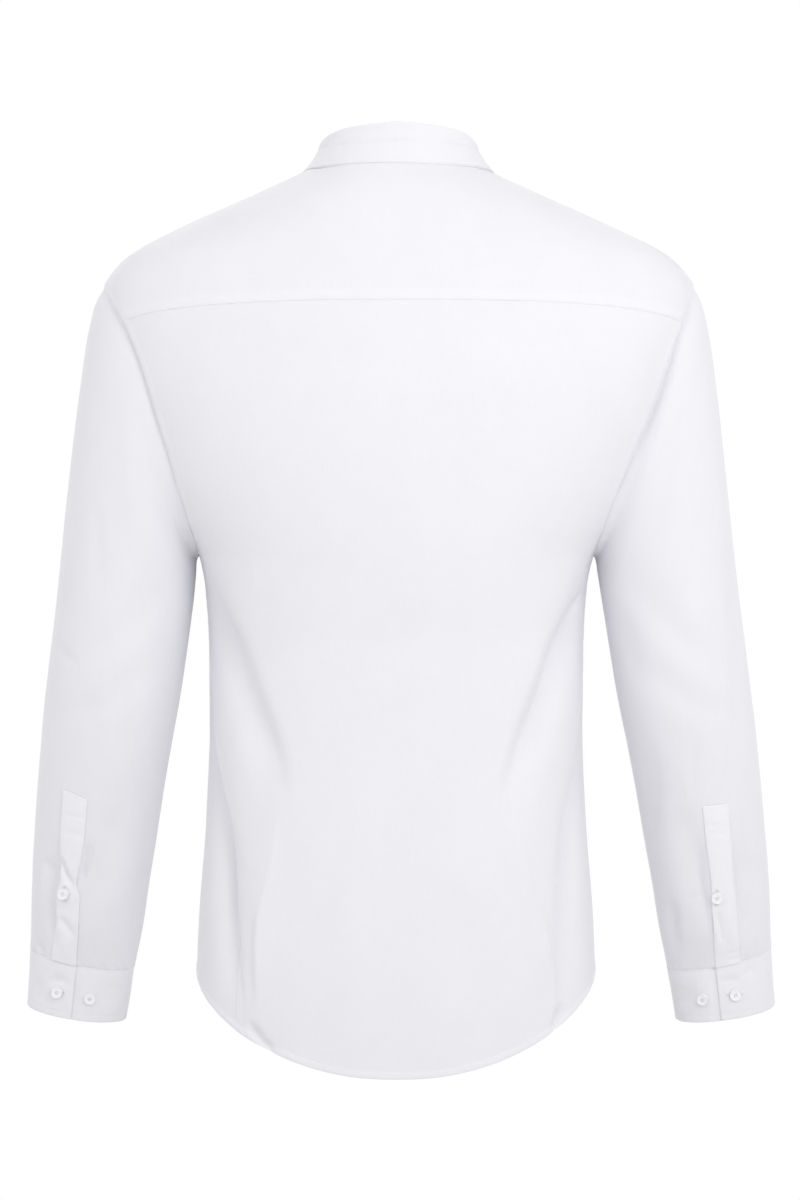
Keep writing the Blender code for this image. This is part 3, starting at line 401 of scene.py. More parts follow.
def hemLine(turn):
    share = np.abs(np.sin(np.radians(turn))) ** bodyForm["hemCurve"]
    lowest = np.where(np.cos(np.radians(turn)) > 0, bodyForm["backHem"], bodyForm["frontHem"])
    return climbAt(lowest + (bodyForm["sideHem"] - lowest) * share)


def sideSeam(side, count=60):
    seamZ, seamTurn = columnsOf(bodyForm["sideSeam"])
    footClimb = hemLine(np.array(seamTurn[0]))
    climb = np.linspace(footClimb, climbAt(bodyForm["underarm"]), count)
    turn = smoothCurve(seamZ, seamTurn, smoothCurve(sectionClimb, sectionZ, climb))
    return np.stack([side * turn, climb], axis=-1)


def armholeAngle(z):
    middle = (bodyForm["armholeTop"] + bodyForm["underarm"]) / 2
    half = (bodyForm["armholeTop"] - bodyForm["underarm"]) / 2
    return math.degrees(math.acos((z - middle) / half))


def armholeSeam(angles, side, facing, grow=0.0):
    # the loop can grow by some millimetres, to run under the body's panels
    middle = (bodyForm["armholeTop"] + bodyForm["underarm"]) / 2
    half = (bodyForm["armholeTop"] - bodyForm["underarm"]) / 2
    z = middle + (half + grow) * np.cos(np.radians(angles))
    armholeZ, backShare, frontShare = columnsOf(bodyForm["armhole"])
    share = smoothCurve(armholeZ, backShare if facing > 0 else frontShare, z)
    if facing > 0:
        height = np.clip((z - bodyForm["underarm"]) / (2 * half), 0.0, 1.0)
        share = share - side * bodyForm["armholeSkew"] * np.sin(np.pi * height ** 1.5)
    climb = climbAt(z)
    share = share - grow * np.sin(np.radians(angles)) / smoothCurve(sectionClimb, sectionWidth, climb)
    return np.stack([side * turnAtShare(share, climb, facing), climb], axis=-1)


backCornerAngle = armholeAngle(bodyForm["backCorner"])
frontCornerAngle = armholeAngle(bodyForm["frontCorner"])


def angleFromBack(angle):
    return 180.0 - np.abs(180.0 - np.abs(angle))


def neckSeam(angle):
    neckAngle, seamZ, _ = columnsOf(bodyForm["neck"])
    climb = climbAt(smoothCurve(neckAngle, seamZ, angleFromBack(angle)))
    halfWidth = smoothCurve(sectionClimb, sectionWidth, climb)
    cosine = np.cos(np.radians(angle))
    back = smoothCurve(sectionClimb, sectionBack, climb)
    front = smoothCurve(sectionClimb, sectionFront, climb)
    depth = np.where(cosine > 0, back, front)
    turn = np.degrees(np.arctan2(np.sin(np.radians(angle)) / halfWidth, cosine / depth))
    turn = np.where(np.abs(angle) > 180.0, turn + 360.0 * np.sign(angle), turn)
    return np.stack([turn, climb], axis=-1)


def backYokeSeam(count=120):
    left = armholeSeam(np.array([backCornerAngle]), 1.0, 1.0)[0]
    right = armholeSeam(np.array([backCornerAngle]), -1.0, 1.0)[0]
    turn = np.linspace(left[0], right[0], count)
    share = np.abs(turn / np.where(turn > 0, left[0], right[0])) ** bodyForm["yokeCurve"]
    middleClimb = climbAt(bodyForm["yokeSeam"])
    return np.stack([turn, middleClimb + (left[1] - middleClimb) * share], axis=-1)


def frontYokeSeam(side, count=40):
    neck = neckSeam(np.array([side * bodyForm["yokeNeckAngle"]]))[0]
    armhole = armholeSeam(np.array([frontCornerAngle]), side, -1.0)[0]
    return neck + (armhole - neck) * np.linspace(0.0, 1.0, count)[:, None]


# grids of cloth

def lengthAlong(line):
    steps = np.linalg.norm(np.diff(line, axis=0), axis=-1)
    return np.concatenate([[0.0], np.cumsum(steps)])


def lineAt(line, shares, scale=(2.6, 1.0)):
    # points on a line of turns and climbs at shares of its length
    reached = lengthAlong(line * np.array(scale))
    at = np.asarray(shares) * reached[-1]
    return rowsAt(at, reached, line)


def closerAtEnds(length, spacing, startSteps=(), endSteps=()):
    # shares of a length, even but for the steps in millimetres near its two ends
    start = list(startSteps) or [0.0]
    end = list(endSteps) or [0.0]
    count = max(2, round((length - start[-1] - end[-1]) / spacing) + 1)
    inner = np.linspace(start[-1], length - end[-1], count)
    steps = np.concatenate([start[:-1], inner, length - np.array(end[:-1])[::-1]])
    return steps / length


def fillBetween(bottom, top, first, last, bottomHold=1.0, topHold=1.0, across=None, up=None):
    across = np.linspace(0.0, 1.0, len(bottom)) if across is None else across
    up = np.linspace(0.0, 1.0, len(first)) if up is None else up
    across = across[None, :, None]
    up = up[:, None, None]
    straight = (1 - across) * first[:, None] + across * last[:, None]
    bottomBend = bottom - ((1 - across[0]) * bottom[0] + across[0] * bottom[-1])
    topBend = top - ((1 - across[0]) * top[0] + across[0] * top[-1])
    return straight + (1 - up) ** bottomHold * bottomBend + up ** topHold * topBend


def edgeDistances(points):
    # how far each point lies from the four edges, measured on the cloth
    up = np.linalg.norm(np.diff(points, axis=0), axis=-1)
    across = np.linalg.norm(np.diff(points, axis=1), axis=-1)
    fromBottom = np.concatenate([np.zeros((1, points.shape[1])), np.cumsum(up, axis=0)])
    fromFirst = np.concatenate([np.zeros((points.shape[0], 1)), np.cumsum(across, axis=1)], axis=1)
    return {
        "bottom": fromBottom, "top": fromBottom[-1] - fromBottom,
        "first": fromFirst, "last": fromFirst[:, -1:] - fromFirst,
    }


seamSteps = (0.0, 0.3, 0.7, 1.3, 2.1, 3.2, 4.6, 6.2, 8.0)
hemSteps = (0.0, 0.5, 1.2, 2.2, 3.3, 4.3, 5.0, 5.7, 6.5, 7.6, 9.2)


def seamRoll(distance, sink=0.5, roll=0.5):
    # the cloth turns in to the seam
    return -sink * np.exp(-distance / roll)


def stepBand(distance, width, lift, soft=0.7):
    # layers folded under lift the cloth as far as their width
    return lift * (1 - ease((distance - width + soft / 2) / soft))


def stitchDip(distance, at, depth=0.16, reach=0.8):
    return -depth * np.exp(-((distance - at) / reach) ** 2)


def pucker(distance, along, seed, size=0.22, reach=7.0, pitch=9.0):
    # stitches draw the cloth up in small uneven ripples
    uneven = softNoise(along, distance * 0 + seed, pitch * 0.8, 1.0, seed)
    wave = np.sin(2 * np.pi * along / pitch + 2.5 * uneven)
    return size * wave * (0.6 + 0.4 * uneven) * np.exp(-(distance / reach) ** 2)


# turning a grid of points into a sheet with a wall

def gridNormals(points, outward=1.0):
    normals = np.cross(np.gradient(points, axis=1), np.gradient(points, axis=0)) * outward
    return normals / np.maximum(np.linalg.norm(normals, axis=-1, keepdims=True), 1e-9)


def lifted(points, offset, outward=1.0):
    return points + gridNormals(points, outward) * offset[..., None]


def deselectAll():
    for obj in bpy.context.selected_objects:
        obj.select_set(False)


def makeActive(obj):
    deselectAll()
    obj.select_set(True)
    bpy.context.view_layer.objects.active = obj


def addToScene(name, data):
    obj = bpy.data.objects.new(name, data)
    bpy.context.scene.collection.objects.link(obj)
    return obj


def finishPiece(obj, material, nodes=()):
    obj.data.materials.append(material)
    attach(obj, "root")
    if nodes:
        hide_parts(*nodes)


def clothSheet(name, points, layers, thickness, outward=1.0):
    # a sheet through the points, thickened inwards, with its thread directions as UVs in
    # metres and the share of doubled cloth as an attribute
    rows, columns = points.shape[:2]
    index = np.arange(rows * columns).reshape(rows, columns)
    faces = np.stack([index[:-1, :-1], index[:-1, 1:], index[1:, 1:], index[1:, :-1]], axis=-1)
    faces = faces.reshape(-1, 4)
    if outward < 0:
        faces = faces[:, ::-1]
    mesh = bpy.data.meshes.new(name)
    mesh.from_pydata((points.reshape(-1, 3) * mm).tolist(), [], faces.tolist())
    distances = edgeDistances(points)
    middle = distances["first"][:, columns // 2]
    across = distances["first"] - middle[:, None]
    threads = np.stack([across, distances["bottom"]], axis=-1).reshape(-1, 2) * mm
    corners = np.zeros(len(mesh.loops), dtype=np.int32)
    mesh.loops.foreach_get("vertex_index", corners)
    mesh.uv_layers.new(name="threads").data.foreach_set("uv", threads[corners].ravel())
    doubled = mesh.attributes.new("layers", "FLOAT", "POINT")
    doubled.data.foreach_set("value", np.broadcast_to(layers, (rows, columns)).ravel())
    mesh.shade_smooth()
    obj = addToScene(name, mesh)
    wall = obj.modifiers.new("wall", "SOLIDIFY")
    wall.thickness = thickness * mm
    wall.offset = -1.0
    wall.use_even_offset = False
    wall.use_quality_normals = True
    makeActive(obj)
    bpy.ops.object.modifier_apply(modifier="wall")
    bpy.ops.object.shade_smooth_by_angle(angle=math.radians(60))
    return obj


class Sheet:
    # keeps a sheet's final points for what is sewn on it
    def __init__(self, name, points, layers, thickness, outward=1.0):
        self.points = points
        self.normals = gridNormals(points, outward)
        self.distances = edgeDistances(points)
        self.obj = clothSheet(name, points, layers, thickness, outward)

    def lineFrom(self, edge, distance, trimStart=0.0, trimEnd=0.0):
        # points and normals along a line at a distance from one edge
        away = self.distances[edge]
        points, normals = self.points, self.normals
        if edge in ("first", "last"):
            away, points, normals = away.T, points.transpose(1, 0, 2), normals.transpose(1, 0, 2)
        if edge in ("top", "last"):
            away, points, normals = away[::-1], points[::-1], normals[::-1]
        line = []
        for column in range(away.shape[1]):
            steps = away[:, column]
            line.append([np.interp(distance, steps, values[:, column, k])
                         for values in (points, normals) for k in range(3)])
        line = np.array(line)
        reached = lengthAlong(line[:, :3])
        keep = (reached >= trimStart) & (reached <= reached[-1] - trimEnd)
        return line[keep, :3], line[keep, 3:]


# thread

stitch = {"length": 2.0, "pitch": 2.6, "width": 0.40, "height": 0.32, "dip": 0.22}
threadBeads = []


def addBead(centre, along, normal, length, width, height, dip):
    threadBeads.append((centre, along, normal, length, width, height, dip))


def sewLine(line):
    # evenly pitched stitches on a line of points and normals
    points, normals = line
    reached = lengthAlong(points)
    count = int(reached[-1] / stitch["pitch"])
    if count < 1:
        return
    at = (np.arange(count) + 0.5) * reached[-1] / count
    way = rowsAt(at + 0.5, reached, points) - rowsAt(at - 0.5, reached, points)
    for c, w, n in zip(rowsAt(at, reached, points), way, rowsAt(at, reached, normals)):
        addBead(c, w, n, stitch["length"], stitch["width"], stitch["height"], stitch["dip"])


def threadMesh(name, material):
    # all beads so far as one piece
    rings = 6
    angles = np.arange(rings) * 2 * np.pi / rings
    template = [(-0.5, 0.0, 0.0)]
    for reach in (-0.27, 0.27):
        template += [(reach, 0.5 * np.cos(a), 0.5 * np.sin(a)) for a in angles]
    template = np.array(template + [(0.5, 0.0, 0.0)])
    faces = []
    for k in range(rings):
        after = (k + 1) % rings
        faces.append((0, 1 + after, 1 + k))
        faces.append((1 + k, 1 + after, 1 + rings + after, 1 + rings + k))
        faces.append((1 + rings + k, 1 + rings + after, 2 * rings + 1))
    vertices = []
    allFaces = []
    for centre, along, normal, length, width, height, dip in threadBeads:
        along = unit(along)
        normal = unit(normal - along * np.dot(normal, along))
        side = np.cross(normal, along)
        shape = template * (length, width, height)
        base = len(vertices)
        ends = np.abs(template[:, 0]) > 0.4
        for (x, y, z), end in zip(shape, ends):
            z = z - dip * end
            vertices.append((centre + along * x + side * y + normal * z) * mm)
        allFaces += [tuple(base + k for k in face) for face in faces]
    mesh = bpy.data.meshes.new(name)
    mesh.from_pydata([tuple(v) for v in vertices], [], allFaces)
    mesh.shade_smooth()
    obj = addToScene(name, mesh)
    finishPiece(obj, material)
    threadBeads.clear()
    return obj


# finishes

cotton = {
    "single": (0.784, 0.781, 0.816), "double": (0.822, 0.819, 0.852),
    "thread": (0.80, 0.80, 0.83), "roughness": (0.81, 0.91), "slubRange": (0.7, 1.3),
    "threadPitch": 0.00036,   # metres between neighbouring threads
    "weaveDepth": 0.00004, "slubDepth": 0.00002,
}


def newMaterial(name):
    material = bpy.data.materials.new(name)
    material.use_nodes = True
    return material, material.node_tree.nodes, material.node_tree.links


def mathNode(nodes, links, operation, a, b):
    node = nodes.new("ShaderNodeMath")
    node.operation = operation
    for socket, value in zip(node.inputs, (a, b)):
        if isinstance(value, (int, float)):
            socket.default_value = value
        else:
            links.new(value, socket)
    return node.outputs[0]


def mixColour(nodes, links, factor, a, b, blend="MIX"):
    node = nodes.new("ShaderNodeMix")
    node.data_type = "RGBA"
    node.blend_type = blend
    for socket, value in ((node.inputs["Factor"], factor), (node.inputs[6], a), (node.inputs[7], b)):
        if hasattr(value, "is_linked"):
            links.new(value, socket)
        elif isinstance(value, tuple):
            socket.default_value = (*value, 1.0)
        else:
            socket.default_value = value
    return node.outputs[2]


def rangeNode(nodes, links, value, fromRange, toRange, kind="LINEAR"):
    node = nodes.new("ShaderNodeMapRange")
    node.interpolation_type = kind
    for title, number in zip(("From Min", "From Max", "To Min", "To Max"), (*fromRange, *toRange)):
        node.inputs[title].default_value = number
    links.new(value, node.inputs["Value"])
    return node.outputs[0]


def addBump(nodes, links, height, distance, strength):
    bump = nodes.new("ShaderNodeBump")
    bump.inputs["Distance"].default_value = distance
    bump.inputs["Strength"].default_value = strength
    links.new(height, bump.inputs["Height"])
    links.new(bump.outputs["Normal"], nodes["Principled BSDF"].inputs["Normal"])


def stretchedNoise(nodes, links, vector, scale, detail, stretch, seed):
    mapping = nodes.new("ShaderNodeMapping")
    mapping.inputs["Scale"].default_value = (*stretch, 1.0)
    mapping.inputs["Location"].default_value = (seed, seed * 0.7, 0.0)
    noise = nodes.new("ShaderNodeTexNoise")
    noise.inputs["Scale"].default_value = scale
    noise.inputs["Detail"].default_value = detail
    noise.inputs["Roughness"].default_value = 0.6
    links.new(vector, mapping.inputs["Vector"])
    links.new(mapping.outputs["Vector"], noise.inputs["Vector"])
    return noise.outputs["Fac"]


def cottonMaterial(name, seed):
    # plain weave with faint slubs along both thread directions
    material, nodes, links = newMaterial(name)
    shader = nodes["Principled BSDF"]
    threads = nodes.new("ShaderNodeUVMap")
    threads.uv_map = "threads"
    doubled = nodes.new("ShaderNodeAttribute")
    doubled.attribute_name = "layers"
    vector = threads.outputs["UV"]
    warp = stretchedNoise(nodes, links, vector, 1.0, 2.0, (2200.0, 60.0), seed)
    weft = stretchedNoise(nodes, links, vector, 1.0, 2.0, (60.0, 2200.0), seed + 3.0)
    cloud = stretchedNoise(nodes, links, vector, 1.0, 3.0, (18.0, 12.0), seed + 5.0)
    slubs = mathNode(nodes, links, "ADD", warp, weft)
    base = mixColour(nodes, links, doubled.outputs["Fac"], cotton["single"], cotton["double"])
    spread = rangeNode(nodes, links, slubs, cotton["slubRange"], (0.982, 1.018))
    clouds = rangeNode(nodes, links, cloud, (0.3, 0.7), (0.99, 1.01))
    tone = mathNode(nodes, links, "MULTIPLY", spread, clouds)
    tint = nodes.new("ShaderNodeCombineColor")
    for socket in tint.inputs[:3]:
        links.new(tone, socket)
    colour = mixColour(nodes, links, 1.0, base, tint.outputs[0], "MULTIPLY")
    links.new(colour, shader.inputs["Base Color"])
    # the weave stands up where a warp thread and a weft thread take turns on top
    parted = nodes.new("ShaderNodeSeparateXYZ")
    links.new(vector, parted.inputs["Vector"])
    turns = 2 * math.pi / (2 * cotton["threadPitch"])
    waves = []
    for axis in ("X", "Y"):
        scaled = mathNode(nodes, links, "MULTIPLY", parted.outputs[axis], turns)
        waves.append(mathNode(nodes, links, "SINE", scaled, 0.0))
    weave = mathNode(nodes, links, "MULTIPLY", waves[0], waves[1])
    height = mathNode(nodes, links, "MULTIPLY", weave, cotton["weaveDepth"])
    slubHeight = mathNode(nodes, links, "MULTIPLY", slubs, cotton["slubDepth"])
    total = mathNode(nodes, links, "ADD", height, slubHeight)
    addBump(nodes, links, total, 1.0, 0.6)
    rough = rangeNode(nodes, links, slubs, cotton["slubRange"], cotton["roughness"])
    links.new(rough, shader.inputs["Roughness"])
    shader.inputs["Specular IOR Level"].default_value = 0.25
    shader.inputs["Sheen Weight"].default_value = 0.30
    shader.inputs["Sheen Roughness"].default_value = 0.5
    return material


def threadMaterial():
    material, nodes, links = newMaterial("sewing thread")
    shader = nodes["Principled BSDF"]
    place = nodes.new("ShaderNodeTexCoord")
    noise = nodes.new("ShaderNodeTexNoise")
    noise.inputs["Scale"].default_value = 900.0
    links.new(place.outputs["Object"], noise.inputs["Vector"])
    tone = mixColour(nodes, links, noise.outputs["Fac"], cotton["thread"], cotton["double"])
    links.new(tone, shader.inputs["Base Color"])
    addBump(nodes, links, noise.outputs["Fac"], 0.0001, 0.3)
    shader.inputs["Roughness"].default_value = 0.55
    shader.inputs["Sheen Weight"].default_value = 0.2
    return material


def buttonMaterial():
    # a pale, slightly pearly resin
    material, nodes, links = newMaterial("pearl button")
    shader = nodes["Principled BSDF"]
    place = nodes.new("ShaderNodeTexCoord")
    mapping = nodes.new("ShaderNodeMapping")
    mapping.inputs["Scale"].default_value = (260.0, 260.0, 700.0)
    noise = nodes.new("ShaderNodeTexNoise")
    noise.inputs["Scale"].default_value = 1.0
    noise.inputs["Detail"].default_value = 3.0
    noise.inputs["Distortion"].default_value = 1.4
    links.new(place.outputs["Object"], mapping.inputs["Vector"])
    links.new(mapping.outputs["Vector"], noise.inputs["Vector"])
    tone = mixColour(nodes, links, noise.outputs["Fac"], (0.83, 0.83, 0.86), (0.90, 0.90, 0.91))
    links.new(tone, shader.inputs["Base Color"])
    rough = rangeNode(nodes, links, noise.outputs["Fac"], (0.0, 1.0), (0.18, 0.34))
    links.new(rough, shader.inputs["Roughness"])
    shader.inputs["Coat Weight"].default_value = 0.35
    shader.inputs["Coat Roughness"].default_value = 0.12
    return material


bodyCotton = cottonMaterial("body cotton", 1.0)
sleeveCotton = cottonMaterial("sleeve cotton", 7.0)
bandCotton = cottonMaterial("band cotton", 13.0)
sewingThread = threadMaterial()
pearlButton = buttonMaterial()
print("finishes made")


# back

back = {
    "thickness": 0.8, "spacing": 3.3, "holds": (3.0, 6.0),
    "allowance": 7.0, "allowanceLift": 0.25, "hem": 5.6, "hemLift": 0.55,
    "sideStitch": 5.5, "hemStitchInset": 0.8,
    "underYoke": 2.5, "underYokeSink": -1.0,
}


def hemRelief(distances, seed):
    # a narrow hem, turned twice and sewn along its upper edge, that ropes a little
    away = distances["bottom"]
    along = distances["first"][0]
    relief = stepBand(away, back["hem"], back["hemLift"])
    relief += stitchDip(away, back["hem"] - back["hemStitchInset"], 0.25, 0.7)
    relief += pucker(away - 2.0, along[None, :], seed, 0.18, 4.0, 6.5)
    relief -= 0.5 * np.exp(-away / 0.5)
    return relief


def sewHem(sheet, trim=1.0):
    sewLine(sheet.lineFrom("bottom", back["hem"] - back["hemStitchInset"], trim, trim))


def sideEdge(side, facing):
    corner = backCornerAngle if facing > 0 else frontCornerAngle
    armhole = armholeSeam(np.linspace(180.0, corner, 60), side, facing)
    return np.concatenate([sideSeam(side), armhole[1:]])


def bandLayers(away, width, soft=0.8):
    # a narrow allowance shows through less than a doubled piece does
    return 0.4 * (1 - ease((away - width + soft / 2) / soft))


def makeBack():
    up = closerAtEnds(640.0, back["spacing"], hemSteps, seamSteps)
    across = closerAtEnds(480.0, back["spacing"], seamSteps, seamSteps)
    first = lineAt(sideEdge(1.0, 1.0), up)
    last = lineAt(sideEdge(-1.0, 1.0), up)
    turn = first[0, 0] + (last[0, 0] - first[0, 0]) * across
    hem = np.stack([turn, hemLine(turn)], axis=-1)
    grid = fillBetween(hem, lineAt(backYokeSeam(), across), first, last, *back["holds"], across, up)
    d = edgeDistances(onBody(grid))
    relief = hemRelief(d, 21)
    relief += seamRoll(d["top"], 0.35, 0.8) + seamRoll(d["first"], 0.3) + seamRoll(d["last"], 0.3)
    layers = bandLayers(d["bottom"], back["hem"])
    for edge in ("first", "last"):
        relief += stepBand(d[edge], back["allowance"], back["allowanceLift"])
        relief += stitchDip(d[edge], back["sideStitch"])
        relief += pucker(d[edge], d["bottom"], 31 if edge == "first" else 37, 0.16, 9.0, 11.0)
        layers = np.maximum(layers, 0.7 * bandLayers(d[edge], back["allowance"]))
    relief += pucker(d["top"], d["first"], 43, 0.12, 7.0, 13.0)
    points = clothOnBody(grid, relief)
    # its upper edge lies under the yoke
    under = clothOnBody(grid[-1:] + [0.0, back["underYoke"]], back["underYokeSink"])
    points = np.concatenate([points, under])
    layers = np.concatenate([layers, layers[-1:]])
    sheet = Sheet("backPanel", points, layers, back["thickness"])
    finishPiece(sheet.obj, bodyCotton, ["back"])
    for edge in ("first", "last"):
        sewLine(sheet.lineFrom(edge, back["sideStitch"], 2.0, 2.0))
    sewHem(sheet)
    return sheet


# fronts and placket

front = {
    "placketHalf": 16.0, "underlap": 11.0, "step": 8.0, "sunk": 1.8,
    "placketStitch": 5.0, "placketThickness": 1.2,
}


def unwrapped(turn, side):
    turn = np.asarray(turn)
    return np.where(turn * side < 0, turn + side * 360.0, turn)


def frontLine(x, side, count=200):
    angles = np.linspace(150.0, 210.0, 241) * side
    seam = neckSeam(angles)
    xs = onBody(seam)[:, 0]
    order = np.argsort(xs)
    neckAngle = float(np.interp(x, xs[order], angles[order]))
    neckClimb = neckSeam(np.array([neckAngle]))[0, 1]
    climb = np.linspace(hemLine(np.array(180.0)), neckClimb, count)
    turn = unwrapped(turnAtX(x, climb, -1.0), side)
    return np.stack([turn, climb], axis=-1), neckAngle


def frontGrid(side, edgeX, up, across):
    edge, neckAngle = frontLine(edgeX, side)
    first = lineAt(edge, up)
    last = lineAt(sideEdge(side, -1.0), up)
    turn = first[0, 0] + (last[0, 0] - first[0, 0]) * across
    hem = np.stack([turn, hemLine(turn)], axis=-1)
    neck = neckSeam(np.linspace(neckAngle, side * bodyForm["yokeNeckAngle"], 40))
    top = np.concatenate([neck, frontYokeSeam(side)[1:]])
    return fillBetween(hem, lineAt(top, across), first, last, *back["holds"], across, up)


def frontRelief(d, seed, edges):
    relief = hemRelief(d, seed) + seamRoll(d["top"])
    layers = bandLayers(d["bottom"], back["hem"])
    for edge in edges:
        relief += seamRoll(d[edge])
    relief += pucker(d["last"], d["bottom"], seed + 4, 0.16, 9.0, 11.0)
    relief += pucker(d["top"], d["first"], seed + 9, 0.12, 7.0, 13.0)
    return relief, layers


def makeFrontLeft():
    up = closerAtEnds(660.0, back["spacing"], hemSteps, seamSteps)
    across = closerAtEnds(235.0, back["spacing"], seamSteps, seamSteps)
    grid = frontGrid(1.0, front["placketHalf"], up, across)
    d = edgeDistances(onBody(grid))
    relief, layers = frontRelief(d, 51, ("first", "last"))
    points = clothOnBody(grid, relief)
    sheet = Sheet("frontLeftPanel", points, layers, back["thickness"], 1.0)
    finishPiece(sheet.obj, bodyCotton, ["front_left"])
    sewHem(sheet)
    return sheet


def makeFrontRight():
    # its inner part steps down under the placket
    up = closerAtEnds(660.0, back["spacing"], hemSteps, seamSteps)
    across = closerAtEnds(228.0, back["spacing"], (), seamSteps)
    stepStart = -front["placketHalf"] - 2.0
    stepEnd = -front["placketHalf"] - front["step"]
    outer = frontGrid(-1.0, stepEnd, up, across)
    underlap = []
    xs = np.arange(front["underlap"], stepEnd + 1.0, -2.5)
    for x in xs:
        underlap.append(lineAt(frontLine(x, 1.0)[0], up))
    grid = np.concatenate([np.stack(underlap, axis=1), outer + [360.0, 0.0]], axis=1)
    x = onBody(grid)[..., 0]
    d = edgeDistances(onBody(grid))
    relief, layers = frontRelief(d, 61, ("last",))
    relief -= front["sunk"] * (1 - ease((stepStart - x) / (stepStart - stepEnd)))
    layers = np.maximum(layers, 1 - ease((-front["placketHalf"] - x) / 3.0))
    points = clothOnBody(grid, relief)
    sheet = Sheet("frontRightPanel", points, layers, back["thickness"], -1.0)
    finishPiece(sheet.obj, bodyCotton, ["front_right"])
    sewHem(sheet)
    return sheet


def makePlacket():
    half = front["placketHalf"]
    up = closerAtEnds(680.0, 2.8, hemSteps, seamSteps)
    xs = half - 2 * half * closerAtEnds(2 * half, 1.6, seamSteps[:4], seamSteps[:4])
    lines = np.stack([lineAt(frontLine(x, 1.0)[0], up) for x in xs], axis=1)[:, ::-1]
    d = edgeDistances(onBody(lines))
    relief = seamRoll(d["top"]) + seamRoll(d["first"], 1.0, 0.5) + seamRoll(d["last"], 1.0, 0.5)
    for edge in ("first", "last"):
        relief += stitchDip(d[edge], front["placketStitch"], 0.22, 0.9)
        relief += pucker(d[edge] - 5.0, d["bottom"], 71 if edge == "first" else 73, 0.10, 5.0, 8.0)
    relief -= 0.5 * np.exp(-d["bottom"] / 0.5)
    points = clothOnBody(lines, relief)
    sheet = Sheet("placketBand", points, 1.0, front["placketThickness"], 1.0)
    finishPiece(sheet.obj, bandCotton, ["front_placket"])
    for edge in ("first", "last"):
        sewLine(sheet.lineFrom(edge, front["placketStitch"], 4.0, 1.0))
    sewHem(sheet, 0.5)
    return sheet


# yoke

yoke = {"thickness": 0.9, "spacing": 3.2, "allowance": 8.0, "allowanceLift": 0.45, "stitch": 1.6}


def makeYoke():
    sections = [
        armholeSeam(np.linspace(frontCornerAngle, 0.0, 13), 1.0, -1.0),
        armholeSeam(np.linspace(0.0, backCornerAngle, 13), 1.0, 1.0),
        backYokeSeam(121),
        armholeSeam(np.linspace(backCornerAngle, 0.0, 13), -1.0, 1.0),
        armholeSeam(np.linspace(0.0, frontCornerAngle, 13), -1.0, -1.0),
    ]
    outer = np.concatenate([sections[0]] + [section[1:] for section in sections[1:]])
    across = closerAtEnds(600.0, yoke["spacing"], seamSteps, seamSteps)
    up = closerAtEnds(105.0, yoke["spacing"], seamSteps, seamSteps)
    shares = np.linspace(0.0, 1.0, len(outer))
    bottom = rowsAt(across, shares, outer)
    neckAngle = bodyForm["yokeNeckAngle"]
    inner = neckSeam(neckAngle - 2 * neckAngle * across)
    first = lineAt(frontYokeSeam(1.0)[::-1], up)
    last = lineAt(frontYokeSeam(-1.0)[::-1], up)
    grid = fillBetween(bottom, inner, first, last, 1.0, 1.0, across, up)
    d = edgeDistances(onBody(grid))
    relief = seamRoll(d["top"], 0.3, 0.4)
    for edge in ("bottom", "first", "last"):
        relief += seamRoll(d[edge])
    # the corners part the armholes from the seam across the back
    corner = (len(sections[0]) + len(sections[1]) - 2) / (len(outer) - 1)
    acrossBack = ease((across - corner) / 0.01 + 0.5) * ease((1 - corner - across) / 0.01 + 0.5)
    alongBack = acrossBack[None, :]
    relief += alongBack * stepBand(d["bottom"], yoke["allowance"], yoke["allowanceLift"])
    relief += stitchDip(d["bottom"], yoke["stitch"])
    relief += pucker(d["bottom"], d["first"], 83, 0.14, 8.0, 13.0)
    for edge in ("first", "last"):
        relief += stepBand(d[edge], yoke["allowance"], yoke["allowanceLift"])
        relief += stitchDip(d[edge], yoke["stitch"])
    layers = np.maximum(bandLayers(d["first"], yoke["allowance"]), bandLayers(d["last"], yoke["allowance"]))
    layers = np.maximum(layers, bandLayers(d["bottom"], yoke["allowance"]) * (0.4 + 0.6 * alongBack))
    points = clothOnBody(grid, relief)
    sheet = Sheet("yokePanel", points, layers, yoke["thickness"], 1.0)
    finishPiece(sheet.obj, bodyCotton, ["yoke"])
    points, normals = sheet.lineFrom("bottom", yoke["stitch"])
    keep = acrossBack > 0.5
    sewLine((points[keep], normals[keep]))
    for edge in ("first", "last"):
        sewLine(sheet.lineFrom(edge, yoke["stitch"], 2.0, 2.0))
    return sheet


# collar band

collar = {
    "topHalfWidth": 66.0, "topHalfDepth": 60.0, "topShift": -5.5, "overlap": 13.0,
    "leanPower": 1.6, "rise": 1.0, "stepTurn": 12.0, "layerStep": 1.8,
    "thickness": 1.3, "stitch": 1.8, "topStitch": 4.5, "midSeam": 19.5,
}


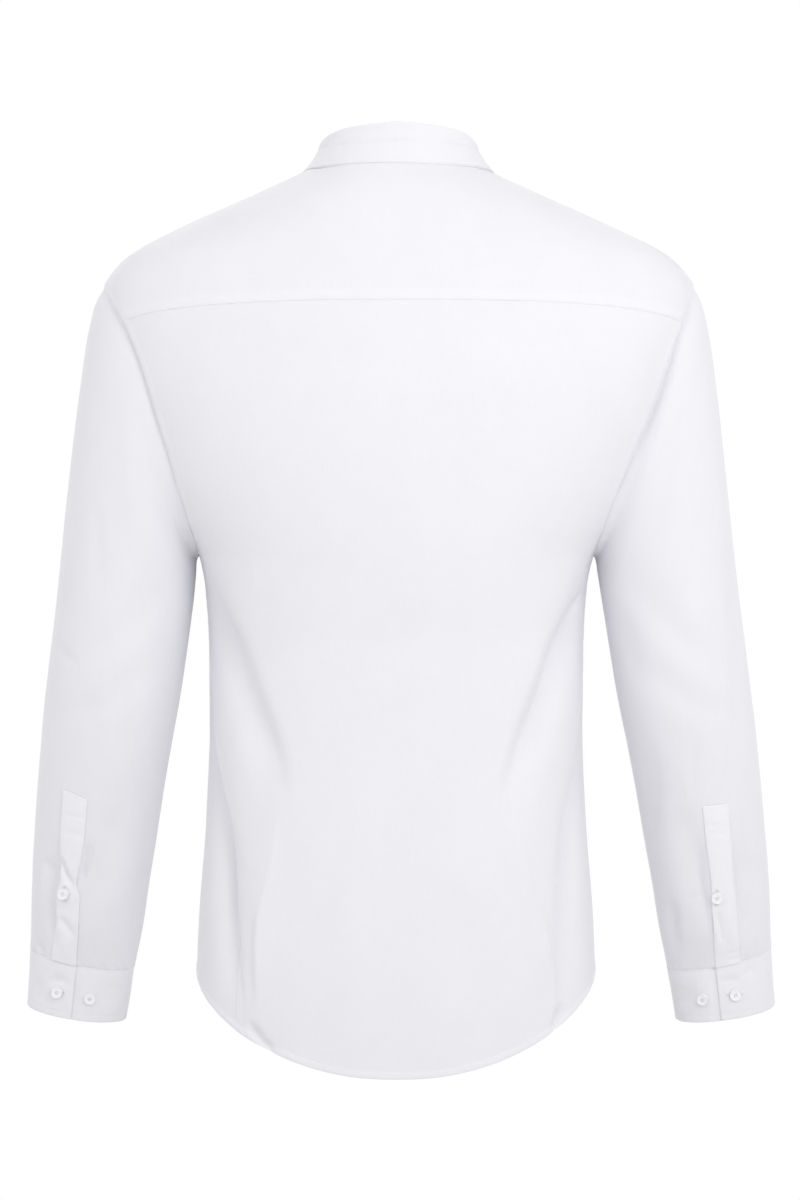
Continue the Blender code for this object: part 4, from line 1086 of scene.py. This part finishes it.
def makeCollar():
    spare = math.degrees(collar["overlap"] / collar["topHalfDepth"])
    reach = 180.0 + spare
    across = closerAtEnds(440.0, 2.2, seamSteps[:5], seamSteps[:5])
    angles = reach - 2 * reach * across
    neckAngle, _, topZ = columnsOf(bodyForm["neck"])
    seam = neckSeam(angles)
    bottom = onBody(seam) + [0.0, 0.0, collar["rise"]]
    sine = np.sin(np.radians(angles))
    cosine = np.cos(np.radians(angles))
    top = np.stack([
        collar["topHalfWidth"] * sine,
        collar["topShift"] + collar["topHalfDepth"] * cosine,
        smoothCurve(neckAngle, topZ, angleFromBack(angles)),
    ], axis=-1)
    share = closerAtEnds(34.0, 1.4, (0.0, 0.4, 0.9, 1.5, 2.2), (0.0, 0.3, 0.7, 1.3, 2.1))
    inward = 1 - (1 - share) ** collar["leanPower"]
    ways = np.stack([inward, inward, share], axis=-1)
    points = bottom + (top - bottom) * ways[:, None, :]
    sunk = -collar["layerStep"] * (1 - ease((angles + reach - 2 * spare) / collar["stepTurn"]))
    outward = np.stack([sine, cosine, np.zeros(len(angles))], axis=-1)
    points = points + outward[None] * sunk[None, :, None]
    d = edgeDistances(points)
    relief = stitchDip(d["bottom"], collar["stitch"], 0.2, 0.8)
    relief += stitchDip(d["top"], collar["topStitch"], 0.2, 0.8)
    relief -= 0.5 * np.exp(-d["top"] / 0.4) + 0.1 * np.exp(-d["bottom"] / 0.4)
    relief -= 0.6 * np.exp(-d["first"] / 0.45) + 0.6 * np.exp(-d["last"] / 0.45)
    relief += pucker(d["bottom"], d["first"], 91, 0.10, 5.0, 9.0)
    relief += 0.35 * softNoise(d["first"], d["bottom"], 45.0, 22.0, 93)
    relief += stitchDip(d["bottom"], collar["midSeam"], 0.8, 0.8)
    relief += stepBand(d["bottom"], collar["midSeam"], 0.4, 1.0)
    points = lifted(points, relief)
    # a skirt inside the neck seam
    inside = points[:1] - outward * 1.6 - [0.0, 0.0, 2.2]
    points = np.concatenate([inside, points])
    sheet = Sheet("collarBand", points, 0.1, collar["thickness"], 1.0)
    finishPiece(sheet.obj, bandCotton, ["collar_band"])
    sewLine(sheet.lineFrom("bottom", collar["stitch"] + 2.7, 2.0, 2.0))
    sewLine(sheet.lineFrom("bottom", collar["midSeam"] + 2.7, 6.0, 6.0))
    sewLine(sheet.lineFrom("top", collar["topStitch"], 2.0, 2.0))
    for edge in ("first", "last"):
        sewLine(sheet.lineFrom(edge, collar["stitch"], 2.0, 4.0))
    return sheet


# sleeves: rings from the armhole to the cuff, outer x and z, inner x and z,
# half depth, how far back the middle lies, and the back's drop

sleeve = {
    "rings": [
        (244.5, -96.0, 163.0, -318.0, 58.0, -2.0, 0.0),
        (250.5, -108.0, 164.8, -320.0, 59.0, -2.0, 0.0),
        (257.5, -138.0, 165.8, -324.0, 60.0, -2.0, 0.0),
        (263.0, -178.0, 166.2, -330.0, 60.0, -2.0, 0.0),
        (270.0, -236.0, 167.0, -338.0, 59.5, -2.0, 0.0),
        (277.0, -298.0, 168.6, -352.0, 58.5, -2.0, 0.0),
        (284.0, -360.0, 172.2, -378.0, 57.5, -2.5, 0.5),
        (291.3, -420.0, 180.8, -434.0, 55.0, -4.5, 2.0),
        (295.8, -460.0, 188.6, -474.0, 52.5, -9.0, 4.0),
        (299.6, -500.0, 196.2, -515.0, 50.0, -14.5, 5.0),
        (303.2, -540.0, 202.8, -555.0, 47.5, -20.0, 5.5),
        (306.8, -578.0, 209.6, -593.0, 45.0, -25.5, 5.5),
        (308.8, -612.0, 215.0, -627.0, 41.5, -30.5, 5.0),
        (309.7, -645.3, 222.5, -662.7, 32.5, -35.5, 4.3),
    ],
    "cuffRing": (313.4, -694.0, 229.9, -706.5, 31.0, -42.0, 4.2),
    "shoulderBlend": 2.0, "foldsIn": 1.5, "foldsOut": 1.0,
    "thickness": 0.8, "spacing": 3.0, "valleyReach": 11.0,
    # how far the loop grows and sinks, for the rows under the body's panels
    "tucked": [(2.6, -1.8), (1.0, -2.2)],
    # how deep the cloth turns in at the armhole and lies in the valley beside it, by the
    # angle from the shoulder
    "sink": [
        (0.0, 0.5), (20.0, 0.9), (40.0, 1.8), (90.0, 2.0), (130.0, 1.3), (160.0, 0.4), (180.0, 0.2),
    ],
    "valley": [
        (0.0, 0.3), (18.0, 2.0), (35.0, 4.4), (75.0, 4.4), (120.0, 2.4), (155.0, 0.1), (180.0, 0.0),
    ],
}
# what differs between the two arms
arms = {
    "left": {"side": 1.0, "swing": -3.0, "edge": 87.0, "stripShift": 17.0,
             "stripTop": 0.701, "stripSlant": -0.009, "buttonShift": 4.0, "pinch": 7.0},
    "right": {"side": -1.0, "swing": 5.0, "edge": 98.0, "stripShift": 8.0,
              "stripTop": 0.714, "stripSlant": 0.003, "buttonShift": -4.0, "pinch": 1.5},
}
sleeveEnd = len(sleeve["rings"]) - 1.0
sleeveColumns = columnsOf(sleeve["rings"])
cuffColumns = columnsOf([sleeve["rings"][-1], sleeve["cuffRing"]])
wristHalf = (sleeve["rings"][-1][0] - sleeve["rings"][-1][2]) / 2


def ringPoints(ringColumns, angles, place, arm, swingShare):
    knots = np.arange(len(ringColumns[0]), dtype=float)
    outerX, outerZ, innerX, innerZ, halfDepth, midY, drop = [
        smoothCurve(knots, column, place) for column in ringColumns
    ]
    cosine = np.cos(np.radians(angles))
    sine = np.sin(np.radians(angles))
    x = (outerX + innerX) / 2 + (outerX - innerX) / 2 * cosine
    z = (outerZ + innerZ) / 2 + (outerZ - innerZ) / 2 * cosine - drop * sine
    x = arm["side"] * (x + arm["swing"] * swingShare) + leanAt(z)
    return np.stack([x, midY + halfDepth * sine, z], axis=-1)


def armholeLoop(arm, grow=0.0, lift=0.0):
    # points all round an armhole, one for each degree
    turn = np.arange(0.0, 361.0)
    halfTurn = np.where(turn <= 180.0, turn, 360.0 - turn)
    seams = [armholeSeam(halfTurn, arm["side"], facing, grow) for facing in (1.0, -1.0)]
    seam = np.where((turn <= 180.0)[:, None], *seams)
    return clothOnBody(seam, lift)


def loopAt(loop, angles):
    return rowsAt(np.mod(angles, 360.0), np.arange(0.0, 361.0), loop)


for arm in arms.values():
    arm["loop"] = armholeLoop(arm)


def sleeveSurface(angles, place, arm):
    points = ringPoints(sleeveColumns, angles, place, arm, ease(place / sleeveEnd))
    ringStart = ringPoints(sleeveColumns, angles, np.zeros_like(place), arm, 0.0)
    fade = (1 - ease(place / sleeve["shoulderBlend"]))[..., None]
    return points + (loopAt(arm["loop"], angles) - ringStart) * fade


def sleevePoints(angles, place, arm, lift=0.0):
    points = sleeveSurface(angles, place, arm)
    step = 0.02
    held = np.clip(place, step, sleeveEnd - step)
    surface = lambda across, along: sleeveSurface(across, along, arm)
    normals = surfaceNormal(surface, angles, held, 1.0, step) * arm["side"]
    side = arm["side"]
    folds = [(f[0], [(side * x, z) for x, z in f[1]], *f[2:]) for f in sleeveFolds]
    creases = [f[1:] for f in sleeveCreases if f[0] == side]
    shown = ease(place / sleeve["foldsIn"]) * ease((sleeveEnd - place) / sleeve["foldsOut"])
    offset = foldOffsets(points, normals, folds) * shown
    offset += foldOffsets(points, normals, creases, 0.35, 0.0)
    turned = np.mod(angles + 180.0, 360.0)
    awayFromSeam = ease(np.minimum(turned, 360.0 - turned) / 14.0)
    uneven = drapeOffsets(turned * 0.8, place * 43.0, 111 if side > 0 else 131)
    offset += uneven * awayFromSeam * ease(place / 0.7) * ease((sleeveEnd - place) / 0.4)
    return points + normals * (offset + lift)[..., None]


def cuffPoints(angles, place, arm, lift=0.0):
    points = ringPoints(cuffColumns, angles, place, arm, 1.0)
    outward = np.stack([
        arm["side"] * np.cos(np.radians(angles)), np.sin(np.radians(angles)), np.zeros(angles.shape)
    ], axis=-1)
    creases = [f[1:] for f in cuffCreases if f[0] == arm["side"]]
    offset = foldOffsets(points, outward, creases, 0.35, 0.0) + lift
    return points + outward * offset[..., None]


def makeSleeve(name):
    arm = arms[name]
    seed = 141 if name == "left" else 161
    fine = np.linspace(0.0, sleeveEnd, 300)
    middle = ringPoints(sleeveColumns, np.full(300, 90.0), fine, arm, ease(fine / sleeveEnd))
    reached = lengthAlong(middle)
    along = closerAtEnds(reached[-1], sleeve["spacing"], seamSteps, seamSteps)
    places = np.interp(along * reached[-1], reached, fine)
    across = closerAtEnds(330.0, sleeve["spacing"], seamSteps[:7], seamSteps[:7])
    angles, place = np.meshgrid(180.0 + 360.0 * across, places)
    base = sleeveSurface(angles, place, arm)
    d = edgeDistances(base)   # its bottom edge is the armhole and its top edge the wrist
    fromTop = 180.0 - np.abs(180.0 - np.mod(angles, 360.0))
    sink = smoothCurve(*columnsOf(sleeve["sink"]), fromTop)
    relief = seamRoll(d["bottom"], sink, 2.0) + seamRoll(d["top"], 0.15, 1.0)
    relief += seamRoll(d["first"], 1.6) + seamRoll(d["last"], 1.6)
    fromSeam = d["bottom"] / sleeve["valleyReach"]
    valley = (1 - np.exp(-d["bottom"] / 1.5)) * np.exp(-fromSeam ** 1.3)
    relief -= smoothCurve(*columnsOf(sleeve["valley"]), fromTop) * valley
    relief += pucker(d["bottom"], d["first"], seed, 0.30, 12.0, 14.0)
    relief += pucker(d["top"], d["first"], seed + 2, 0.55, 16.0, 12.0)
    points = sleevePoints(angles, place, arm, relief)
    # its edge lies under the body's panels
    tucked = [loopAt(armholeLoop(arm, *row), angles[0]) for row in sleeve["tucked"]]
    wrist = cuffPoints(angles[:2], np.array([[0.012], [0.05]]) + 0 * angles[:2], arm, -1.3)
    points = np.concatenate([np.stack(tucked), points, wrist])
    sheet = Sheet(name + "Sleeve", points, 0.0, sleeve["thickness"], -arm["side"])
    finishPiece(sheet.obj, sleeveCotton, ["sleeve_" + name])
    return sheet


# cuffs

cuff = {
    "overlap": 27.0, "stepTurn": 14.0, "layerStep": 1.8, "thickness": 1.2,
    "stitch": 1.8, "edgeStitch": 5.0, "buttonPlace": 0.56, "buttonInset": 13.8,
}


def makeCuff(name):
    arm = arms[name]
    seed = 181 if name == "left" else 191
    start = arm["edge"] - math.degrees(cuff["overlap"] / wristHalf)
    across = closerAtEnds(275.0, 2.0, seamSteps[:5], seamSteps[:5])
    up = closerAtEnds(55.0, 1.7, (0.0, 0.4, 0.9, 1.5, 2.2), (0.0, 0.4, 0.9, 1.5, 2.2))
    angles, place = np.meshgrid(start + (arm["edge"] + 360.0 - start) * across, up)
    sunk = -cuff["layerStep"] * (1 - ease((angles - arm["edge"]) / cuff["stepTurn"]))
    points = cuffPoints(angles, place, arm, sunk)
    d = edgeDistances(points)   # its bottom edge is the seam and its top edge the open end
    relief = stitchDip(d["bottom"], cuff["stitch"], 0.2, 0.8)
    relief += stitchDip(d["top"], cuff["edgeStitch"], 0.2, 0.8)
    for edge in ("first", "last"):
        relief += stitchDip(d[edge], cuff["edgeStitch"], 0.2, 0.8)
        relief -= 0.6 * np.exp(-d[edge] / 0.45)
    relief -= 0.15 * np.exp(-d["bottom"] / 0.4) + 0.5 * np.exp(-d["top"] / 0.4)
    relief += 0.5 * softNoise(d["first"], d["bottom"], 32.0, 26.0, seed)
    relief += pucker(d["top"] - 4.0, d["first"], seed + 1, 0.12, 4.0, 8.0)
    points = lifted(points, relief, -arm["side"])
    sheet = Sheet(name + "Cuff", points, 0.4, cuff["thickness"], -arm["side"])
    finishPiece(sheet.obj, bandCotton, ["cuff_" + name])
    sewLine(sheet.lineFrom("bottom", cuff["stitch"], 1.0, 1.0))
    sewLine(sheet.lineFrom("top", cuff["edgeStitch"], 5.0, 5.0))
    for edge in ("first", "last"):
        sewLine(sheet.lineFrom(edge, cuff["edgeStitch"], 3.0, 5.0))
    return sheet


# sleeve plackets

strip = {"width": 20.8, "lift": 1.3, "thickness": 0.9, "stitch": 2.0, "box": 22.0,
         "pinchPlace": 10.98, "buttonPlace": 11.25}


def stripAngle(across, place):
    knots = np.arange(len(sleeve["rings"]), dtype=float)
    half = (smoothCurve(knots, sleeveColumns[0], place) - smoothCurve(knots, sleeveColumns[2], place)) / 2
    return np.degrees(np.arccos(np.clip(across / half, -1.0, 1.0)))


def stripFootShift(arm):
    return wristHalf * math.cos(math.radians(arm["edge"])) + strip["width"] / 2


def makeStrip(name):
    arm = arms[name]
    down = closerAtEnds(160.0, 1.9, seamSteps[:6], seamSteps[:4])[:, None]
    across = closerAtEnds(strip["width"], 1.3, seamSteps[:4], seamSteps[:4])[None, :] - 0.5
    reached = arm["stripTop"] + (1 - arm["stripTop"]) * down + arm["stripSlant"] * across * (1 - down)
    place = reached * sleeveEnd
    shift = arm["stripShift"] + (stripFootShift(arm) - arm["stripShift"]) * down
    # it draws in just above its button
    above = strip["pinchPlace"] - place
    pinch = arm["pinch"] * np.exp(-(above / np.where(above > 0, 0.6, 0.16)) ** 2)
    angles = stripAngle(shift + across * (strip["width"] - pinch), place)
    base = sleevePoints(angles, place, arm, strip["lift"])
    d = edgeDistances(base)   # its bottom edge is the end up the sleeve, its top edge the cuff
    relief = np.zeros(down.shape) + stitchDip(d["bottom"], strip["box"])
    for edge in ("first", "last", "bottom"):
        relief = relief + stitchDip(d[edge], strip["stitch"], 0.2, 0.7) - 0.7 * np.exp(-d[edge] / 0.4)
    relief = relief + pucker(d["first"], d["bottom"], 201, 0.12, 6.0, 9.0)
    points = lifted(base, relief, arm["side"])
    sheet = Sheet(name + "SleeveStrip", points, 1.0, strip["thickness"], arm["side"])
    finishPiece(sheet.obj, bandCotton, ["sleeve_placket_" + name])
    for edge in ("first", "last", "bottom"):
        sewLine(sheet.lineFrom(edge, strip["stitch"], 2.0, 2.0))
    sewLine(sheet.lineFrom("bottom", strip["box"], 2.0, 2.0))
    return sheet


# buttons

button = {
    "radius": 5.5, "sleeveRadius": 4.8, "thickness": 2.6, "dish": 0.7, "rim": 1.5,
    "hole": 0.62, "holeSpread": 1.35, "seatGap": 0.3, "sides": 40,
}
frontButtons = {"top": -96.0, "pitch": 88.0, "count": 6}
sleeveSize = button["sleeveRadius"] / button["radius"]
# length and width of the stitching round a buttonhole
wideHole = (13.5, 2.6)
smallHole = (11.6, 2.2)


def selectFaces(mesh, wanted):
    for face in mesh.polygons:
        face.select = bool(wanted(face))
    for edge in mesh.edges:
        edge.select = False
    for vertex in mesh.vertices:
        vertex.select = False
    for face in mesh.polygons:
        if face.select:
            for index in face.vertices:
                mesh.vertices[index].select = True


def editStep(obj, wanted, steps):
    # picks faces by their place, then runs the steps on them in edit mode
    selectFaces(obj.data, wanted)
    bpy.ops.object.mode_set(mode="EDIT")
    bpy.ops.mesh.select_mode(type="FACE")
    steps()
    bpy.ops.object.mode_set(mode="OBJECT")


def makeButtonMaster():
    # a turned button lying flat at the middle of the world, its face up
    radius = button["radius"] * mm
    depth = button["thickness"] * mm
    deselectAll()
    bpy.ops.mesh.primitive_cylinder_add(vertices=button["sides"], radius=radius, depth=depth)
    obj = bpy.context.object
    obj.name = "turnedButton"
    makeActive(obj)
    top = lambda face: face.normal.z > 0.9 and face.center.z > depth * 0.4 and len(face.vertices) > 4

    def dish():
        bpy.ops.mesh.inset(thickness=button["rim"] * mm)
        bpy.ops.transform.translate(value=(0.0, 0.0, -button["dish"] * mm))
        bpy.ops.mesh.inset(thickness=0.35 * mm)

    editStep(obj, top, dish)
    bevel = obj.modifiers.new("soft edges", "BEVEL")
    bevel.width = 0.45 * mm
    bevel.segments = 3
    bevel.limit_method = "ANGLE"
    bevel.angle_limit = math.radians(35)
    bpy.ops.object.modifier_apply(modifier="soft edges")
    drills = []
    for k in range(4):
        angle = math.radians(45 + 90 * k)
        spread = button["holeSpread"] * mm
        place = (spread * math.cos(angle), spread * math.sin(angle), 0.0)
        deselectAll()
        bpy.ops.mesh.primitive_cylinder_add(vertices=14, radius=button["hole"] * mm,
                                            depth=depth * 2, location=place)
        drills.append(bpy.context.object)
    deselectAll()
    for drill in drills:
        drill.select_set(True)
    bpy.context.view_layer.objects.active = drills[0]
    bpy.ops.object.join()
    makeActive(obj)
    cut = obj.modifiers.new("holes", "BOOLEAN")
    cut.operation = "DIFFERENCE"
    cut.solver = "EXACT"
    cut.object = drills[0]
    bpy.ops.object.modifier_apply(modifier="holes")
    bpy.data.objects.remove(drills[0])
    bpy.ops.object.shade_smooth_by_angle(angle=math.radians(35))
    return obj


def seatMatrix(centre, normal, up=(0.0, 0.0, 1.0)):
    normal = unit(normal)
    sideWay = unit(np.cross(up, normal))
    placed = np.eye(4)
    placed[:3, 0] = sideWay
    placed[:3, 1] = np.cross(normal, sideWay)
    placed[:3, 2] = normal
    placed[:3, 3] = np.array(centre) * mm
    return Matrix(placed.tolist())


def placeButton(master, name, node, seat, normal, turned=0.0, size=1.0):
    # a copy of the master on its seat, with thread through its holes
    normal = unit(normal)
    centre = np.array(seat) + normal * (button["seatGap"] + button["thickness"] / 2)
    mesh = master.data.copy()
    place = seatMatrix(centre, normal) @ Matrix.Rotation(math.radians(turned), 4, "Z")
    mesh.transform(place @ Matrix.Diagonal((size, size, 1.0, 1.0)))
    obj = addToScene(name, mesh)
    finishPiece(obj, pearlButton, [node])
    rotation = np.array(place)[:3, :3]
    spread = button["holeSpread"] * math.cos(math.radians(45))
    faceHeight = button["thickness"] / 2 - button["dish"]
    for y in (-spread, spread):
        for k in (-0.22, 0.0, 0.22):
            middle = centre + rotation @ np.array([0.0, y + k, faceHeight + 0.10])
            along = rotation @ np.array([1.0, 0.0, 0.0])
            addBead(middle, along, normal, 2 * spread + 1.1, 0.26, 0.30, 0.55)
    return obj


def sewButtonhole(seat, along, normal, length, width):
    # close satin stitches across the slit, and a bar at each end
    centre = seat + normal * 0.05
    along = unit(along)
    side = np.cross(normal, along)
    count = int(length / 0.5)
    for k in range(count + 1):
        t = (k / count - 0.5) * length
        for s in (-1.0, 1.0):
            place = centre + along * t + side * s * width * 0.29
            addBead(place, side, normal, width * 0.44, 0.46, 0.42, 0.2)
    for s in (-1.0, 1.0):
        for k in range(-3, 4):
            place = centre + along * s * (length / 2 + 0.6) + side * k * width / 7
            addBead(place, along, normal, 1.5, 0.42, 0.5, 0.25)


def onSurface(surface, across, along, stepAlong):
    across = np.array([float(across)])
    along = np.array([float(along)])
    seat = surface(across, along)[0]
    normal = surfaceNormal(surface, across, along, 3.0, stepAlong)[0]
    return seat, normal


def makeFrontButtons(master):
    for number in range(frontButtons["count"]):
        climb = climbAt(frontButtons["top"] - number * frontButtons["pitch"])
        seat, normal = onSurface(bodyPoints, 180.0, climb, 6.0)
        title = f"frontButton{number + 1}"
        placeButton(master, title, f"button_front_{number + 1}", seat, normal, 7 * number)
        up = np.cross(np.cross(normal, (0.0, 0.0, 1.0)), normal)
        sewButtonhole(seat, up, normal, *wideHole)


def makeCollarButton(master):
    seamZ, topZ = bodyForm["neck"][-1][1:]
    seatY = bodySurface(*neckSeam(np.array([180.0]))[0])[1]
    topY = collar["topShift"] - collar["topHalfDepth"]
    inward = 1 - 0.5 ** collar["leanPower"]
    seat = np.array([0.0, seatY + (topY - seatY) * inward, (seamZ + topZ) / 2])
    normal = unit([0.0, -(topZ - seamZ), topY - seatY])
    placeButton(master, "collarButton", "button_collar", seat, normal, 12)
    sewButtonhole(seat, (1.0, 0.0, 0.0), normal, *wideHole)


def makeCuffButtons(master, name):
    arm = arms[name]
    surface = lambda across, along: cuffPoints(across, along, arm)
    for kind, distance in (("fastened", -cuff["buttonInset"]), ("spare", cuff["buttonInset"])):
        angle = arm["edge"] + math.degrees(distance / wristHalf)
        seat, normal = onSurface(surface, angle, cuff["buttonPlace"], 0.1)
        normal = normal * arm["side"]
        title = name + "Cuff" + kind.capitalize() + "Button"
        placeButton(master, title, f"button_cuff_{name}_{kind}", seat, normal, 20, sleeveSize)
        if kind == "fastened":
            across = np.cross((0.0, 0.0, 1.0), normal)
            sewButtonhole(seat, across, normal, *smallHole)


def makeStripButton(master, name):
    arm = arms[name]
    place = strip["buttonPlace"]
    angle = stripAngle(np.array([stripFootShift(arm) + arm["buttonShift"]]), np.array([place]))[0]
    surface = lambda across, along: sleevePoints(across, along, arm, 1.5)
    seat, normal = onSurface(surface, angle, place, 0.1)
    normal = normal * arm["side"]
    placeButton(master, name + "StripButton", f"button_sleeve_{name}", seat, normal, 30, sleeveSize)
    up = np.cross(np.cross(normal, (0.0, 0.0, 1.0)), normal)
    sewButtonhole(seat, up, normal, *smallHole)


# making

makeBack()
threadMesh("backStitching", sewingThread)
print("back made")
makeFrontLeft()
makeFrontRight()
makePlacket()
threadMesh("frontStitching", sewingThread)
print("fronts and placket made")
makeYoke()
threadMesh("yokeStitching", sewingThread)
makeCollar()
threadMesh("collarStitching", sewingThread)
print("yoke and collar made")
for armName in arms:
    makeSleeve(armName)
    makeCuff(armName)
    makeStrip(armName)
    threadMesh(armName + "SleeveStitching", sewingThread)
print("sleeves made")
buttonMaster = makeButtonMaster()
makeFrontButtons(buttonMaster)
makeCollarButton(buttonMaster)
for armName in arms:
    makeCuffButtons(buttonMaster, armName)
    makeStripButton(buttonMaster, armName)
threadMesh("buttonThread", sewingThread)
bpy.data.objects.remove(buttonMaster)
print("buttons made")
# studio

studio = {
    "floorZ": -1.15, "floorRadius": 26.0, "floorTone": (0.70, 0.70, 0.71),
    "wall": 1.0, "ceiling": 0.88,   # how bright the room is all round, and overhead
    "behindCamera": 0.92,
    "floorFade": (0.7, 1.6),
}
# place, what it points at, size and power
lamps = {
    "keyLight": ((-0.75, 1.45, 0.30), (0.0, 0.0, -0.3), 0.9, 7.8),
    "fillLight": ((1.1, 1.7, 0.6), (0.0, 0.0, -0.3), 1.2, 3.6),
    "frontLight": ((0.6, -1.7, 1.0), (0.0, 0.0, -0.2), 1.3, 8.0),
}
# place in metres, sensor width in millimetres, and the height that the picture takes in
view = {"place": (-0.00124, 2.9, -0.3548), "sensor": 36.0, "height": 0.9948}


def roomStrength(nodes, links, way):
    # how bright the room is that way
    parted = nodes.new("ShaderNodeSeparateXYZ")
    links.new(way, parted.inputs["Vector"])
    height = mathNode(nodes, links, "ABSOLUTE", parted.outputs["Z"], 0.0)
    overhead = rangeNode(nodes, links, height, (0.20, 0.60), (studio["wall"], studio["ceiling"]),
                         "SMOOTHSTEP")
    nearer = rangeNode(nodes, links, parted.outputs["Y"], (-0.2, 0.4), (1.0, studio["behindCamera"]),
                       "SMOOTHSTEP")
    return mathNode(nodes, links, "MULTIPLY", overhead, nearer)


def makeFloor():
    deselectAll()
    bpy.ops.mesh.primitive_circle_add(vertices=96, radius=studio["floorRadius"], fill_type="TRIFAN",
                                      location=(0.0, 0.0, studio["floorZ"]))
    floor = bpy.context.object
    floor.name = "studioFloor"
    material, nodes, links = newMaterial("studio floor")
    shader = nodes["Principled BSDF"]
    shader.inputs["Base Color"].default_value = (*studio["floorTone"], 1.0)
    shader.inputs["Roughness"].default_value = 0.9
    # far off, the floor fades to the plain light of the room
    glow = nodes.new("ShaderNodeEmission")
    place = nodes.new("ShaderNodeTexCoord")
    length = nodes.new("ShaderNodeVectorMath")
    length.operation = "LENGTH"
    links.new(place.outputs["Object"], length.inputs[0])
    way = nodes.new("ShaderNodeVectorMath")
    way.operation = "NORMALIZE"
    links.new(place.outputs["Object"], way.inputs[0])
    links.new(roomStrength(nodes, links, way.outputs["Vector"]), glow.inputs["Strength"])
    mix = nodes.new("ShaderNodeMixShader")
    faded = rangeNode(nodes, links, length.outputs["Value"], studio["floorFade"], (0.0, 1.0), "SMOOTHSTEP")
    links.new(faded, mix.inputs["Fac"])
    links.new(shader.outputs[0], mix.inputs[1])
    links.new(glow.outputs[0], mix.inputs[2])
    links.new(mix.outputs[0], nodes["Material Output"].inputs["Surface"])
    floor.data.materials.append(material)


def areaLight(name, place, target, size, power):
    data = bpy.data.lights.new(name, "AREA")
    data.shape = "DISK"
    data.size = size
    data.energy = power
    lamp = addToScene(name, data)
    lamp.location = place
    way = np.array(target) - np.array(place)
    lamp.rotation_mode = "QUATERNION"
    lamp.rotation_quaternion = Vector(way).to_track_quat("-Z", "Y")


def makeLight():
    world = bpy.data.worlds.new("studio room")
    bpy.context.scene.world = world
    world.use_nodes = True
    sky = world.node_tree.nodes["Background"]
    sky.inputs["Color"].default_value = (1.0, 1.0, 1.0, 1.0)
    nodes, links = world.node_tree.nodes, world.node_tree.links
    place = nodes.new("ShaderNodeTexCoord")
    links.new(roomStrength(nodes, links, place.outputs["Generated"]), sky.inputs["Strength"])
    for name, values in lamps.items():
        areaLight(name, *values)


def makeCamera():
    data = bpy.data.cameras.new("studioCamera")
    data.sensor_fit = "AUTO"
    data.sensor_width = view["sensor"]
    data.lens = view["sensor"] * view["place"][1] / view["height"]
    camera = addToScene("studioCamera", data)
    camera.location = view["place"]
    camera.rotation_euler = (math.radians(90.0), 0.0, math.radians(180.0))
    bpy.context.scene.camera = camera


makeFloor()
makeLight()
makeCamera()
bpy.context.scene.view_settings.view_transform = "Standard"
print("studio made")
